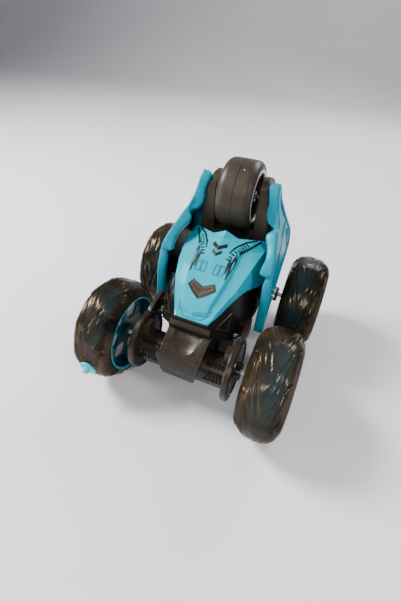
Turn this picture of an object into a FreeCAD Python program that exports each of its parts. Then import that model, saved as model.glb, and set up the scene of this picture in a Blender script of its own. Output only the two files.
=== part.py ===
import FreeCAD, Part
import Sketcher
import math
import os
from FreeCAD import Placement, Rotation, Vector

# Five-wheeled stunt car in millimetres. +Z is up, the nose faces -Y, and the origin lies on the
# floor under the middle of the car. Two axle units, one at each end of a battery tub, carry four
# inflated tyres, each with its own motor. A free fifth wheel stands between two arms above the
# rear axle, so that the car can lean back on it and tumble over.

doc = FreeCAD.newDocument("StuntCar")
sheet = doc.addObject("Spreadsheet::Sheet", "Sizes")
nodes = []

LEFT, RIGHT = -1, 1
UP, ALONG_Y, ALONG_X = Vector(0, 0, 1), Vector(0, 1, 0), Vector(1, 0, 0)


# ---------------------------------------------------------------- driving dimensions

class Dim:
    """A length that keeps its number together with the sheet expression that drives it."""

    def __init__(self, value, text):
        self.value = float(value)
        self.text = text

    def joined(self, sign, value, other, swap=False):
        first, last = (words(other), self.text) if swap else (self.text, words(other))
        return Dim(value, "(" + first + " " + sign + " " + last + ")")

    def __add__(self, other):
        return self.joined("+", self.value + number(other), other)

    def __radd__(self, other):
        return self.joined("+", number(other) + self.value, other, swap=True)

    def __sub__(self, other):
        return self.joined("-", self.value - number(other), other)

    def __rsub__(self, other):
        return self.joined("-", number(other) - self.value, other, swap=True)

    def __mul__(self, other):
        return self.joined("*", self.value * number(other), other)

    __rmul__ = __mul__

    def __truediv__(self, other):
        return self.joined("/", self.value / number(other), other)

    def __neg__(self):
        return Dim(-self.value, "(-1 * " + self.text + ")")


def number(length):
    return length.value if isinstance(length, Dim) else float(length)


def words(length):
    return length.text if isinstance(length, Dim) else repr(float(length))


class Sizes:
    """The cells of the sheet, one Dim for each alias."""

    def __init__(self):
        self.row = 0

    def add(self, note, **cells):
        for alias, value in cells.items():
            self.row += 1
            sheet.set("A%d" % self.row, note)
            sheet.set("B%d" % self.row, str(value))
            sheet.setAlias("B%d" % self.row, alias)
            setattr(self, alias, Dim(value, "Sizes." + alias))


size = Sizes()
size.add("wheelbase and distance from the middle of the car to each wheel's middle",
         wheelbase=120.0, front_half_track=78.0, rear_half_track=82.0)
size.add("inflated tyre: outer radius, width, shoulder rounding, film thickness",
         tyre_radius=50.0, tyre_width=41.0, tyre_shoulder=11.0, tyre_wall=1.6)
size.add("wheel rim: radius under the tyre, width, barrel wall, spoke plate thickness",
         rim_radius=36.8, rim_width=38.0, rim_wall=2.0, plate=2.4)
size.add("wheel rim: hub radius, window radius and the circle that the windows stand on",
         hub_radius=7.0, window_radius=9.5, window_circle=21.0)
size.add("inflation plug: flange radius and thickness, stem radius, stopper length, place across the tread",
         plug_flange=7.0, plug_flange_thick=1.4, plug_stem=3.0, plug_stopper=4.6, plug_offset=11.0)
size.add("wheel shaft radius and running clearance in its bearings",
         shaft_radius=2.25, running=0.06)
size.add("axle unit: round housing, its half length, how far its middle lies ahead of and below the axle",
         housing_radius=15.7, housing_half=43.0, housing_ahead=2.5, housing_drop=4.4, chamber_radius=14.0)
size.add("axle unit: end flange radius and thickness, boss",
         flange_radius=29.0, flange_thick=4.0,
         boss_radius=8.0, boss_length=5.0)
size.add("gears: module, how far the motor shaft lies ahead of and below the axle, face width",
         module=0.4, motor_ahead=5.1, motor_drop=9.06, face_width=5.0)
size.add("motor: can radius and length, shaft radius",
         motor_radius=7.6, motor_length=25.0, motor_shaft=1.0)
size.add("battery tub: half width, half length, underside and rim heights, wall",
         tub_half_width=34.0, tub_half_length=31.0, belly=30.0, tub_rim=64.0, tub_wall=2.2)
size.add("fifth wheel: radius, width, ring radius, pin radius, height, distance behind the middle",
         fifth_radius=32.0, fifth_width=33.6, fifth_ring=24.6, fifth_pin=2.0,
         fifth_height=158.0, fifth_back=58.0)
size.add("arms of the fifth wheel: inner face and thickness",
         arm_inner=20.0, arm_thick=6.5)
size.add("hood skin and casing skin",
         hood_skin=1.8, casing_skin=2.2)

GEAR_TEETH = 40
PINION_TEETH = 12
WHEEL_RIGHT_TURN = {RIGHT: 90, LEFT: -90}
front_y = -(size.wheelbase / 2)
rear_y = size.wheelbase / 2
axle_z = size.tyre_radius


# ---------------------------------------------------------------- building helpers

def bind(obj, **lengths):
    for prop, length in lengths.items():
        if isinstance(length, Dim):
            obj.setExpression(prop, length.text)
        else:
            setattr(obj, prop, length)
    return obj


def place(obj, x=0.0, y=0.0, z=0.0, turn=None):
    obj.Placement = Placement(Vector(number(x), number(y), number(z)), turn or Rotation())
    for axis, length in (("x", x), ("y", y), ("z", z)):
        if isinstance(length, Dim):
            obj.setExpression(".Placement.Base." + axis, length.text)
    return obj


def node(name, obj):
    """A finished sub-part: its Label names the file that it is written to."""
    obj.Label = name
    nodes.append(obj)
    return obj


def spans(low, high):
    return (low, high) if number(low) < number(high) else (high, low)


def box(x, y, z):
    """A box from three pairs of limits."""
    (x0, x1), (y0, y1), (z0, z1) = spans(*x), spans(*y), spans(*z)
    block = bind(doc.addObject("Part::Box", "Block"), Length=x1 - x0, Width=y1 - y0, Height=z1 - z0)
    return place(block, x0, y0, z0)


def rod(radius, x, y, z):
    """A round bar along X between two limits, its seam turned clear of the level and upright planes."""
    x0, x1 = spans(*x)
    bar = bind(doc.addObject("Part::Cylinder", "Bar"), Radius=radius, Height=x1 - x0)
    return place(bar, x0, y, z, Rotation(ALONG_Y, 90) * Rotation(UP, 140))


def post(radius, x, y, z):
    """A round bar along Z between two limits."""
    z0, z1 = spans(*z)
    bar = bind(doc.addObject("Part::Cylinder", "Post"), Radius=radius, Height=z1 - z0)
    return place(bar, x, y, z0)


def fuse(*shapes):
    joined = doc.addObject("Part::MultiFuse", "Joined")
    joined.Shapes = list(shapes)
    joined.Refine = True
    return joined


def cut(base, *tools):
    result = doc.addObject("Part::Cut", "Trimmed")
    result.Base = base
    result.Tool = tools[0] if len(tools) == 1 else fuse(*tools)
    result.Refine = True
    return result


def common(*shapes):
    overlap = doc.addObject("Part::MultiCommon", "Overlap")
    overlap.Shapes = list(shapes)
    return overlap


def group(name, pieces):
    """Several loose solids of one kind, kept as separate solids of one node."""
    bunch = doc.addObject("Part::Compound", "Bunch")
    bunch.Links = pieces
    return node(name, bunch)


def plane_of(body, role):
    return next(item for item in body.Origin.OriginFeatures if item.Role == role)


def sketch_on(body, role, points, name="Outline"):
    """A closed outline of straight lines; every corner is held by its two distances."""
    sketch = body.newObject("Sketcher::SketchObject", name)
    sketch.AttachmentSupport = [(plane_of(body, role), "")]
    sketch.MapMode = "FlatFace"
    corners = [Vector(number(a), number(b), 0) for a, b in points]
    count = len(corners)
    for i in range(count):
        sketch.addGeometry(Part.LineSegment(corners[i], corners[(i + 1) % count]), False)
    for i in range(count):
        sketch.addConstraint(Sketcher.Constraint("Coincident", i, 2, (i + 1) % count, 1))
    for i, point in enumerate(points):
        for kind, length in zip(("DistanceX", "DistanceY"), point):
            held = sketch.addConstraint(Sketcher.Constraint(kind, -1, 1, i, 1, number(length)))
            if isinstance(length, Dim):
                sketch.setExpression("Constraints[%d]" % held, length.text)
    return sketch


def revolved(name, points):
    """A turned piece: points are (radius, height) pairs, turned about the body's own Z axis."""
    body = doc.addObject("PartDesign::Body", name)
    sketch = sketch_on(body, "XZ_Plane", points)
    turned = body.newObject("PartDesign::Revolution", "Turned")
    turned.Profile = sketch
    turned.ReferenceAxis = (sketch, ["V_Axis"])
    turned.Angle = 360
    sketch.Visibility = False
    return body, turned


def grooved(body, points):
    """A hollow turned into the body about its own Z axis."""
    sketch = sketch_on(body, "XZ_Plane", points, "Hollow")
    hollow = body.newObject("PartDesign::Groove", "Hollowed")
    hollow.Profile = sketch
    hollow.ReferenceAxis = (sketch, ["V_Axis"])
    hollow.Angle = 360
    return hollow


def padded(name, role, points, length):
    """A plate: an outline padded equally to both sides of one of the body's planes."""
    body = doc.addObject("PartDesign::Body", name)
    sketch = sketch_on(body, role, points)
    pad = body.newObject("PartDesign::Pad", "Plate")
    pad.Profile = sketch
    pad.SideType = "Symmetric"
    bind(pad, Length=length)
    return body


def polar(body, feature, count):
    """Repeats a feature about the body's Z axis and makes the pattern the tip."""
    pattern = body.newObject("PartDesign::PolarPattern", "Round")
    pattern.Originals = [feature]
    pattern.Axis = (plane_of(body, "Z_Axis"), [""])
    pattern.Angle = 360
    pattern.Occurrences = count
    body.Tip = pattern
    return pattern


def lofted(name, sections):
    """A solid skinned straight through closed sections, each a list of (x, y, z) corners."""
    wires = []
    for corners in sections:
        points = [Vector(*corner) for corner in corners]
        wires.append(Part.makePolygon(points + points[:1]))
    feature = doc.addObject("Part::Feature", name)
    feature.Shape = Part.makeLoft(wires, True, True)
    return feature


def on_wheel(obj, side, x, y, spin=0.0):
    """Lays a turned piece on its axle with its own +Z pointing outboard."""
    turn = Rotation(ALONG_X, spin) * Rotation(ALONG_Y, WHEEL_RIGHT_TURN[side])
    return place(obj, x * side, y, axle_z, turn)


# ---------------------------------------------------------------- the four driven wheels

def tyre(name, side, x, y, spin):
    """An inflated ring of thin film, open only at the plug hole near one shoulder."""
    half = size.tyre_width / 2
    body, turned = revolved(name + "_body", [
        (size.rim_radius, -half), (size.tyre_radius, -half),
        (size.tyre_radius, half), (size.rim_radius, half)])
    doc.recompute()
    crown = [e for e, edge in enumerate(turned.Shape.Edges, 1)
             if edge.Curve.TypeId == "Part::GeomCircle"
             and abs(edge.Curve.Radius - size.tyre_radius.value) < 0.01]
    shoulders = body.newObject("PartDesign::Fillet", "Shoulders")
    shoulders.Base = (turned, ["Edge%d" % e for e in crown])
    bind(shoulders, Radius=size.tyre_shoulder)
    wall = size.tyre_wall
    inner, outer, reach = size.rim_radius + wall, size.tyre_radius - wall, half - wall
    taper = size.tyre_shoulder * 0.6
    grooved(body, [(inner, -reach), (outer - taper, -reach), (outer, taper - reach),
                   (outer, reach - taper), (outer - taper, reach), (inner, reach)])
    hole = body.newObject("PartDesign::SubtractiveCylinder", "PlugHole")
    hole.MapMode = "Deactivated"
    bind(hole, Radius=size.plug_stem, Height=size.tyre_wall * 4)
    place(hole, size.tyre_radius - size.tyre_wall * 2, 0.0, size.plug_offset, Rotation(ALONG_Y, 90))
    body.Tip = hole
    return node(name, on_wheel(body, side, x, y, spin))


def inflation_plug(name, side, x, y, spin):
    """A stem pushed into the tyre, its flange on the tread and a stopper to pull it by."""
    seat = size.tyre_radius + 0.05
    top = seat + size.plug_flange_thick
    body, turned = revolved(name + "_body", [
        (0.0, seat - 6.0), (size.plug_stem, seat - 6.0), (size.plug_stem, seat), (size.plug_flange, seat),
        (size.plug_flange, top), (size.plug_stem, top), (size.plug_stem, top + size.plug_stopper),
        (0.0, top + size.plug_stopper)])
    turn = Rotation(ALONG_X, spin) * Rotation(ALONG_Y, WHEEL_RIGHT_TURN[side]) * Rotation(ALONG_Y, 90)
    return node(name, place(body, (x + size.plug_offset) * side, y, axle_z, turn))


def rim(name, side, x, y, spin):
    """A barrel with two spoke plates: six hexagonal windows run right through both."""
    half, bore, hub = size.rim_width / 2, size.shaft_radius, size.hub_radius
    inside = size.rim_radius - size.rim_wall
    inner_plate, outer_plate = half * -0.55, half * 0.45
    body, turned = revolved(name + "_body", [
        (bore, inner_plate - 4.0), (hub, inner_plate - 4.0), (hub, inner_plate), (inside, inner_plate),
        (inside, -half), (size.rim_radius, -half), (size.rim_radius, half), (inside, half),
        (inside, outer_plate), (hub, outer_plate), (hub, outer_plate + 3.0), (bore, outer_plate + 3.0)])
    grooved(body, [
        (hub, inner_plate + size.plate), (inside, inner_plate + size.plate),
        (inside, outer_plate - size.plate), (hub, outer_plate - size.plate)])
    corner = [(math.cos(math.radians(60 * i)), math.sin(math.radians(60 * i))) for i in range(6)]
    sketch = sketch_on(body, "XY_Plane", [
        (size.window_circle + size.window_radius * a, size.window_radius * b) for a, b in corner], "Window")
    window = body.newObject("PartDesign::Pocket", "Windowed")
    window.Profile = sketch
    window.SideType = "Symmetric"
    window.Type = "ThroughAll"
    polar(body, window, 6)
    return node(name, on_wheel(body, side, x, y, spin))


def wheel_shaft(name, side, x, y):
    """The nylon shaft from the gear in the axle unit out to the rim's outer hub."""
    outer_end = x + size.rim_width * 0.225 + 1.0
    return node(name, rod(size.shaft_radius, (side * 34.0, side * outer_end), y, axle_z))


def hub_cap(name, side, x, y, spin):
    """A domed hexagon cap pressed over the end of the shaft on the rim's outer hub."""
    seat = size.rim_width * 0.225 + 3.05
    body, turned = revolved(name + "_body", [
        (0.0, seat), (size.hub_radius + 1.5, seat), (size.hub_radius + 1.5, seat + 1.2),
        (size.hub_radius - 2.0, seat + 3.2), (0.0, seat + 3.2)])
    return node(name, on_wheel(body, side, x, y, spin))


def toothed_wheel(name, teeth, bore, width):
    """A spur gear on the body's own Z axis: a blank, one tooth, and a round pattern of it."""
    pitch = size.module * (teeth / 2.0)
    root, tip = pitch - size.module * 1.25, pitch + size.module * 0.95
    half = width / 2
    body, blank = revolved(name + "_body", [(bore, -half), (root, -half), (root, half), (bore, half)])
    foot, crest = size.module * 0.98, size.module * 0.36
    flank = size.module * 0.68
    sketch = sketch_on(body, "XY_Plane", [
        (root - 0.3, -foot), (root + size.module * 0.1, -foot), (pitch, -flank), (tip, -crest),
        (tip, crest), (pitch, flank), (root + size.module * 0.1, foot), (root - 0.3, foot)], "Tooth")
    tooth = body.newObject("PartDesign::Pad", "ToothPad")
    tooth.Profile = sketch
    tooth.SideType = "Symmetric"
    bind(tooth, Length=width)
    polar(body, tooth, teeth)
    return body


def motor_centre(y, inward):
    """The motor shaft lies outwards of the axle, seen from the middle of the car, and below it."""
    return y - size.motor_ahead * inward, axle_z - size.motor_drop


def gear_pair(end, side, y, inward):
    """The wheel's gear and the motor's pinion with its shaft, in mesh along the line of centres."""
    gear_x = side * 38.0
    motor_y, motor_z = motor_centre(y, inward)
    lean = math.degrees(math.atan2(-size.motor_drop.value, -size.motor_ahead.value * inward))
    gear = toothed_wheel("gear_" + end, GEAR_TEETH, size.shaft_radius, size.face_width)
    half_pitch = 180.0 / GEAR_TEETH
    node("drive_gear_" + end, on_axis(gear, gear_x, y, axle_z, lean + half_pitch))
    shaft = size.motor_shaft
    pinion = toothed_wheel("pinion_" + end, PINION_TEETH, shaft * 0.5, size.face_width + 0.6)
    spindle = rod(shaft, (side * 12.0, side * 40.8), motor_y, motor_z)
    node("motor_pinion_" + end, fuse(on_axis(pinion, gear_x, motor_y, motor_z, lean), spindle))


def on_axis(body, x, y, z, spin):
    """Lays a gear on an X axis; a spin of zero points one tooth along Y."""
    return place(body, x, y, z, Rotation(ALONG_X, spin) * Rotation(ALONG_Y, 90) * Rotation(UP, 90))


def motor(name, side, y, inward):
    """A small can motor with the boss of its front bearing; its shaft turns in the bore."""
    motor_y, motor_z = motor_centre(y, inward)
    can = rod(size.motor_radius, (side * 7.5, side * (7.5 + size.motor_length.value)), motor_y, motor_z)
    bearing = rod(3.0, (side * 32.0, side * 34.6), motor_y, motor_z)
    bore = rod(size.motor_shaft + size.running, (side * 11.0, side * 36.0), motor_y, motor_z)
    return node(name, cut(fuse(can, bearing), bore))


# ---------------------------------------------------------------- axle units

# The square neck from the housings to the tub: half width, foot, top and wall.
NECK_HALF, NECK_FOOT, NECK_TOP, NECK_WALL = 20.0, 36.0, 63.0, 2.5


def axle_unit(end, y, inward, extra, hollowed, boss):
    """Two round housings with end flanges, a neck to the tub between them, split level with the motors."""
    motor_y, motor_z = motor_centre(y, inward)
    housing_y, housing_z = y - size.housing_ahead * inward, axle_z - size.housing_drop
    outer_face = size.housing_half + size.flange_thick
    far = y + (size.wheelbase / 2 - size.tub_half_length) * inward
    shells = [rod(size.housing_radius, (-size.housing_half, size.housing_half), housing_y, housing_z),
              box((-NECK_HALF, NECK_HALF), (y + 2.0 * inward, far), (NECK_FOOT, NECK_TOP))] + extra
    neck_room = NECK_HALF - NECK_WALL
    hollows = [box((-neck_room, neck_room), (y + 15.0 * inward, far - NECK_WALL * inward),
                   (NECK_FOOT + NECK_WALL, NECK_TOP - NECK_WALL))] + hollowed
    for side in (LEFT, RIGHT):
        shells.append(rod(size.flange_radius, (size.housing_half * side, outer_face * side), y, axle_z))
        shells.append(rod(size.boss_radius, (outer_face * side, (outer_face + boss) * side), y, axle_z))
        hollows.append(rod(size.motor_radius + 0.1, (side * 7.4, side * 32.6), motor_y, motor_z))
        hollows.append(rod(3.06, (side * 32.0, side * 35.5), motor_y, motor_z))
        hollows.append(rod(size.chamber_radius, (side * 35.0, side * 41.4), housing_y, housing_z))
        hollows.append(rod(size.shaft_radius + size.running,
                           (side * 33.9, (outer_face + boss + 1.0) * side), y, axle_z))
    hollow = fuse(*hollows)
    for half, low, high in (("_axle_tray", -1.0, motor_z), ("_axle_cover", motor_z, 140.0)):
        slab = box((-70.0, 70.0), (y - 50.0, y + 50.0), (low, high))
        node(end + half, cut(fuse(*[common(shell, slab) for shell in shells]), hollow))


NOSE_FRONT = [(-20.4, 78.0), (-15.6, 26.0), (15.6, 26.0), (20.4, 78.0)]


def front_nose():
    """The blunt nose that bulges out of the middle of the front unit, narrower towards the floor."""
    side_view = padded("nose_side", "YZ_Plane", [
        (-31.1, 63.0), (-31.1, 76.6), (-56.0, 76.6), (-70.0, 69.6), (-79.5, 60.5), (-83.6, 52.0),
        (-83.6, 46.5),
        (-82.0, 39.5), (-75.5, 31.5), (-66.0, 27.0), (-56.0, 27.0), (-56.0, 63.0)], 44.0)
    return common(side_view, padded("nose_front", "XZ_Plane", NOSE_FRONT, 200.0))


def nose_room():
    """The hollow inside the nose."""
    side_view = padded("room_side", "YZ_Plane", [
        (-57.0, 73.6), (-68.6, 67.4), (-77.2, 59.0), (-81.0, 51.0), (-81.0, 47.0), (-79.6, 40.8),
        (-74.0, 33.9),
        (-65.4, 29.6), (-57.0, 29.6)], 44.0)
    return common(side_view, padded("room_front", "XZ_Plane", [
        (-17.4, 78.0), (-13.2, 26.0), (13.2, 26.0), (17.4, 78.0)], 200.0))


def front_stays():
    """A lug on top of each front housing and the rail that ties its flange back to the casing."""
    pieces = []
    for side in (LEFT, RIGHT):
        pieces.append(box((side * 36.5, side * 44.0), (-66.0, -57.0), (56.0, 75.0)))
        rail = padded("front_rail", "YZ_Plane", [
            (-62.0, 66.0), (-56.0, 74.0), (-44.0, 80.0), (-24.0, 82.0), (-24.0, 68.0), (-42.0, 62.0)], 3.4)
        pieces.append(place(rail, side * 45.3, 0.0, 0.0))
        pieces.append(box((side * 37.0, side * 47.0), (-32.0, -24.0), (70.0, 79.0)))
    return pieces


def rear_saddle():
    """The flat step on top of the rear housings that the arms stand on."""
    return box((-32.0, 32.0), (44.0, 72.0), (50.0, 78.0))


# ---------------------------------------------------------------- body

# Half sections of the casing, front to back: y, then (x, z) of its foot and of its deck edge.
CASING = [
    (-57.0, (20.0, 76.8), (15.6, 88.6)),
    (-44.0, (35.0, 67.5), (21.0, 91.6)),
    (-34.0, (40.0, 66.0), (26.2, 96.6)),
    (-18.0, (42.0, 64.2), (33.0, 101.8)),
    (3.0, (44.0, 64.2), (41.6, 97.0)),
    (30.0, (45.0, 64.2), (45.6, 97.0)),
]

# Half sections of the hood, front to back: y, middle, plateau edge, flank ridge and lower edge.
HOOD = [
    (-56.8, (0.0, 91.6), (12.0, 91.0), (15.4, 90.0), (15.6, 89.0)),
    (-50.0, (0.0, 94.6), (14.0, 94.0), (18.4, 93.6), (18.8, 90.9)),
    (-46.0, (0.0, 99.8), (13.6, 98.6), (20.3, 96.4), (20.6, 91.8)),
    (-35.0, (0.0, 106.6), (15.6, 107.4), (25.4, 104.2), (25.9, 97.2)),
    (-18.0, (0.0, 116.6), (18.4, 117.6), (31.4, 113.6), (33.2, 102.2)),
    (3.0, (0.0, 128.6), (19.4, 126.0), (35.4, 120.4), (41.8, 97.4)),
    (24.0, (0.0, 137.0), (13.0, 130.6), (38.4, 121.8), (46.2, 97.6)),
    (38.0, (0.0, 137.6), (13.0, 132.0), (36.2, 126.6), (46.2, 99.0)),
]


def mirrored_section(y, right_half):
    """A closed section from its right half, given from the middle or the deck down to the foot."""
    left_half = [(-x, z) for x, z in reversed(right_half) if x > 0]
    return [(x, y, z) for x, z in right_half + left_half]


def side_casing():
    """The dark casing under the hood: sloping flanks, an open underside and a flat deck."""
    skin = size.casing_skin.value
    outer = lofted("casing_outer", [mirrored_section(y, [deck, foot]) for y, foot, deck in CASING])
    inner_sections = []
    for y, (foot_x, foot_z), (deck_x, deck_z) in CASING:
        y = min(max(y, CASING[0][0] + skin), CASING[-1][0] - skin)
        inner_sections.append(mirrored_section(y, [
            (deck_x - skin * 1.4, deck_z - skin), (foot_x - skin * 1.4, foot_z - skin)]))
    inner = lofted("casing_inner", inner_sections)
    return node("body_casing", cut(outer, inner))


def hood():
    """The faceted hood skin with a raised middle and a W-shaped rear edge."""
    skin = size.hood_skin.value
    outer = lofted("hood_outer", [mirrored_section(row[0], list(row[1:])) for row in HOOD])
    inner = lofted("hood_inner", [
        mirrored_section(row[0], [(max(x - skin * 0.8, 0.0), z - skin) for x, z in row[1:]]) for row in HOOD])
    plan = padded("hood_plan", "XY_Plane", [
        (-16.0, -56.8), (16.0, -56.8), (50.0, -10.0), (50.0, 30.0), (35.6, 36.5), (12.4, 22.5), (0.0, 21.4),
        (-12.4, 22.5), (-35.6, 36.5), (-50.0, 30.0), (-50.0, -10.0)], 400.0)
    return node("hood", common(cut(outer, inner), plan))


def emblem():
    """A plain bronze shield set into the hood above the front step."""
    body = padded("emblem_body", "XY_Plane", [
        (-9.3, 5.4), (0.0, 2.6), (9.3, 5.4), (11.1, 2.4), (0.0, -6.4), (-11.1, 2.4)], 2.0)
    return node("hood_emblem", place(body, 0.0, -34.2, 108.9, Rotation(ALONG_X, 30.5)))


def lip_strip():
    """The narrow strip across the front of the casing, under the hood's front edge."""
    return node("lip_strip", box((-19.4, 19.4), (-59.0, -57.0), (79.5, 86.0)))


def rear_cover():
    """The ribbed cover between the hood and the fifth wheel, standing on the rear axle unit."""
    side_view = padded("cover_side", "YZ_Plane", [
        (30.3, 78.1), (30.3, 100.0), (24.6, 101.0), (24.6, 126.0), (36.0, 126.5), (46.0, 124.0),
        (58.0, 122.6), (68.0, 120.6), (68.0, 78.1)], (size.arm_inner - 0.4) * 2)
    groove_floor, groove_width = 120.4, 1.6
    grooves = [box((-25.0, 25.0), (y, y + groove_width), (groove_floor, 130.0))
               for y in (40.0, 45.0, 50.0, 55.0, 60.0)]
    room = box((-17.4, 17.4), (32.5, 65.8), (70.0, 101.5))
    return node("rear_cover", cut(side_view, room, *grooves))


def arm(name, side):
    """A flat arm from the rear axle unit up to the pin of the fifth wheel."""
    plate = padded(name + "_body", "YZ_Plane", [
        (44.5, 78.1), (41.5, 100.0), (41.5, 124.0), (44.8, 150.0), (45.4, 170.0), (50.5, 177.0),
        (63.0, 177.0),
        (71.0, 169.0), (72.0, 152.0), (70.0, 120.0), (70.0, 78.1)], size.arm_thick)
    place(plate, (size.arm_inner + size.arm_thick / 2) * side, 0.0, 0.0)
    pin_hole = rod(size.fifth_pin, (side * 15.0, side * 32.0), size.fifth_back, size.fifth_height)
    return node(name, cut(plate, pin_hole))


# The right side panel from behind the car: x of its outer face at each height, foot to top.
PANEL_LEAN = [
    (56.9, 62.0), (56.9, 100.0), (55.4, 120.0), (53.6, 131.0), (47.4, 145.0), (41.6, 157.0), (35.6, 177.6)]
PANEL_THICK = 6.4

# Its outline from the side: up the stepped front edge, over the top, down the bulged rear edge.
PANEL_OUTLINE = [
    (-24.0, 65.5), (-20.0, 100.0), (-14.5, 121.0), (-11.8, 131.0), (2.0, 140.0), (22.0, 152.0), (24.5, 154.4),
    (31.0, 155.4), (33.0, 160.0), (39.0, 168.0), (45.0, 176.0), (51.0, 177.6), (55.6, 172.0), (56.0, 163.0),
    (62.0, 147.0), (70.0, 128.0), (68.5, 114.0), (56.0, 107.0), (30.0, 96.0), (8.0, 81.0), (-6.0, 71.0),
    (-15.0, 65.5),
]


def side_panel(name, side):
    """A blue side plate: the outline seen from the side, cut from a slab bent inwards at the top."""
    inner_face = [(x - PANEL_THICK, z) for x, z in reversed(PANEL_LEAN)]
    slab = padded(name + "_slab", "XZ_Plane", [(x * side, z) for x, z in PANEL_LEAN + inner_face], 400.0)
    outline = padded(name + "_outline", "YZ_Plane", PANEL_OUTLINE, 400.0)
    return node(name, common(slab, outline))


def panel_brackets():
    """Dark brackets that carry each side panel off the casing and off its arm."""
    pieces = []
    for side in (LEFT, RIGHT):
        pieces.append(box((side * 42.6, side * 50.5), (2.0, 16.0), (86.0, 95.5)))
        pieces.append(rod(5.0, (side * (size.arm_inner + size.arm_thick), side * 33.0), 50.0, 168.0))
    return group("panel_brackets", pieces)


# ---------------------------------------------------------------- battery tub

SCREW_SINK = 1.8


def battery_tub():
    """The tub between the axle units, with a battery door and a switch slot in its floor."""
    wide, long, wall = size.tub_half_width, size.tub_half_length, size.tub_wall
    shell = box((-wide, wide), (-long, long), (size.belly, size.tub_rim))
    room = box((wall - wide, wide - wall), (wall - long, long - wall),
               (size.belly + wall, size.tub_rim + 1.0))
    steps = [box((side * wide, side * 42.0), (0.2 - long, long - 0.2), (size.tub_rim - 2.4, size.tub_rim))
             for side in (LEFT, RIGHT)]
    hatch = box((-17.2, 17.2), (-26.2, 26.2), (size.belly - 1.0, size.belly + 2.0))
    hatch_mouth = box((-15.5, 15.5), (-24.5, 24.5), (size.belly, size.belly + 3.0))
    slot = box((22.0, 30.0), (-3.0, 3.0), (size.belly - 1.0, size.belly + 3.0))
    pegs = [box((side * 17.4, side * 21.0), (y - 2.0, y + 2.0),
                (size.belly + wall - 0.1, size.belly + wall + 17.0))
            for side in (LEFT, RIGHT) for y in (-17.0, 17.0)]
    corners = [(x, y) for x in (-29.0, 29.0) for y in (-26.0, 26.0)]
    bosses = [post(4.6, x, y, (size.belly + wall - 0.1, size.belly + 5.0)) for x, y in corners]
    sinks = [post(2.8, x, y, (size.belly - 1.0, size.belly + SCREW_SINK)) for x, y in corners]
    trimmed = cut(fuse(shell, *steps), room, hatch, hatch_mouth, slot)
    return node("battery_tub", cut(fuse(trimmed, *pegs, *bosses), *sinks))


def battery_door():
    door = box((-17.0, 17.0), (-26.0, 26.0), (size.belly, size.belly + 1.9))
    grips = [box((-8.0, 8.0), (-22.0 + 3 * i, -20.8 + 3 * i), (size.belly - 1.0, size.belly + 0.7))
             for i in range(4)]
    screw = post(1.2, 0.0, 22.0, (size.belly - 1.0, size.belly + 3.0))
    return node("battery_door", cut(door, screw, *grips))


def power_switch():
    """The slide switch: its body on the tub floor and its knob in the slot."""
    floor = size.belly + size.tub_wall
    case = box((20.5, 31.5), (-4.5, 4.5), (floor, floor + 5.0))
    travel = box((24.0, 28.0), (-2.9, 2.9), (floor - 0.5, floor + 2.0))
    node("switch_body", cut(case, travel))
    node("switch_knob", box((24.2, 27.8), (-2.7, -0.3), (size.belly + 0.4, floor + 1.6)))


def inside_tub():
    floor = size.belly + size.tub_wall
    node("battery_pack", box((-14.0, 14.0), (-23.0, 23.0), (floor, floor + 14.0)))
    board = box((-18.0, 18.0), (-22.0, 22.0), (floor + 17.0, floor + 18.6))
    chips = [box((x - 4.0, x + 4.0), (y - 4.0, y + 4.0), (floor + 18.6, floor + 20.4))
             for x, y in ((-8.0, -8.0), (8.0, 6.0))]
    node("receiver_board", fuse(board, *chips))


# ---------------------------------------------------------------- fasteners

def pan_screw(x, y, z, head, shank, length, turn):
    """A pan-head screw whose head stands up along its own +Z from the given point."""
    body, turned = revolved("Screw", [
        (0.0, -length), (shank, -length), (shank, 0.0), (head, 0.0), (head, 0.9),
        (head * 0.6, 1.5), (0.0, 1.5)])
    return place(body, x, y, z, turn)


def fasteners():
    facing = {RIGHT: Rotation(ALONG_Y, 90), LEFT: Rotation(ALONG_Y, -90)}
    group("panel_screws", [
        pan_screw(side * 56.95, y, z, 2.6, 1.0, 5.0, facing[side])
        for side in (LEFT, RIGHT) for y, z in ((5.0, 91.0), (13.0, 91.0))])
    group("belly_screws", [
        pan_screw(x, y, size.belly + SCREW_SINK, 2.4, 1.0, 2.6, Rotation(ALONG_X, 180))
        for x in (-29.0, 29.0) for y in (-26.0, 26.0)])
    group("flange_screws", [
        pan_screw(side * 47.0, y + 24.5 * math.cos(angle), axle_z + 24.5 * math.sin(angle),
                  2.2, 0.9, 3.4, facing[side])
        for side in (LEFT, RIGHT) for y in (front_y, rear_y)
        for angle in (math.radians(60), math.radians(120), math.radians(240), math.radians(300))])


# ---------------------------------------------------------------- the fifth wheel

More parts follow.
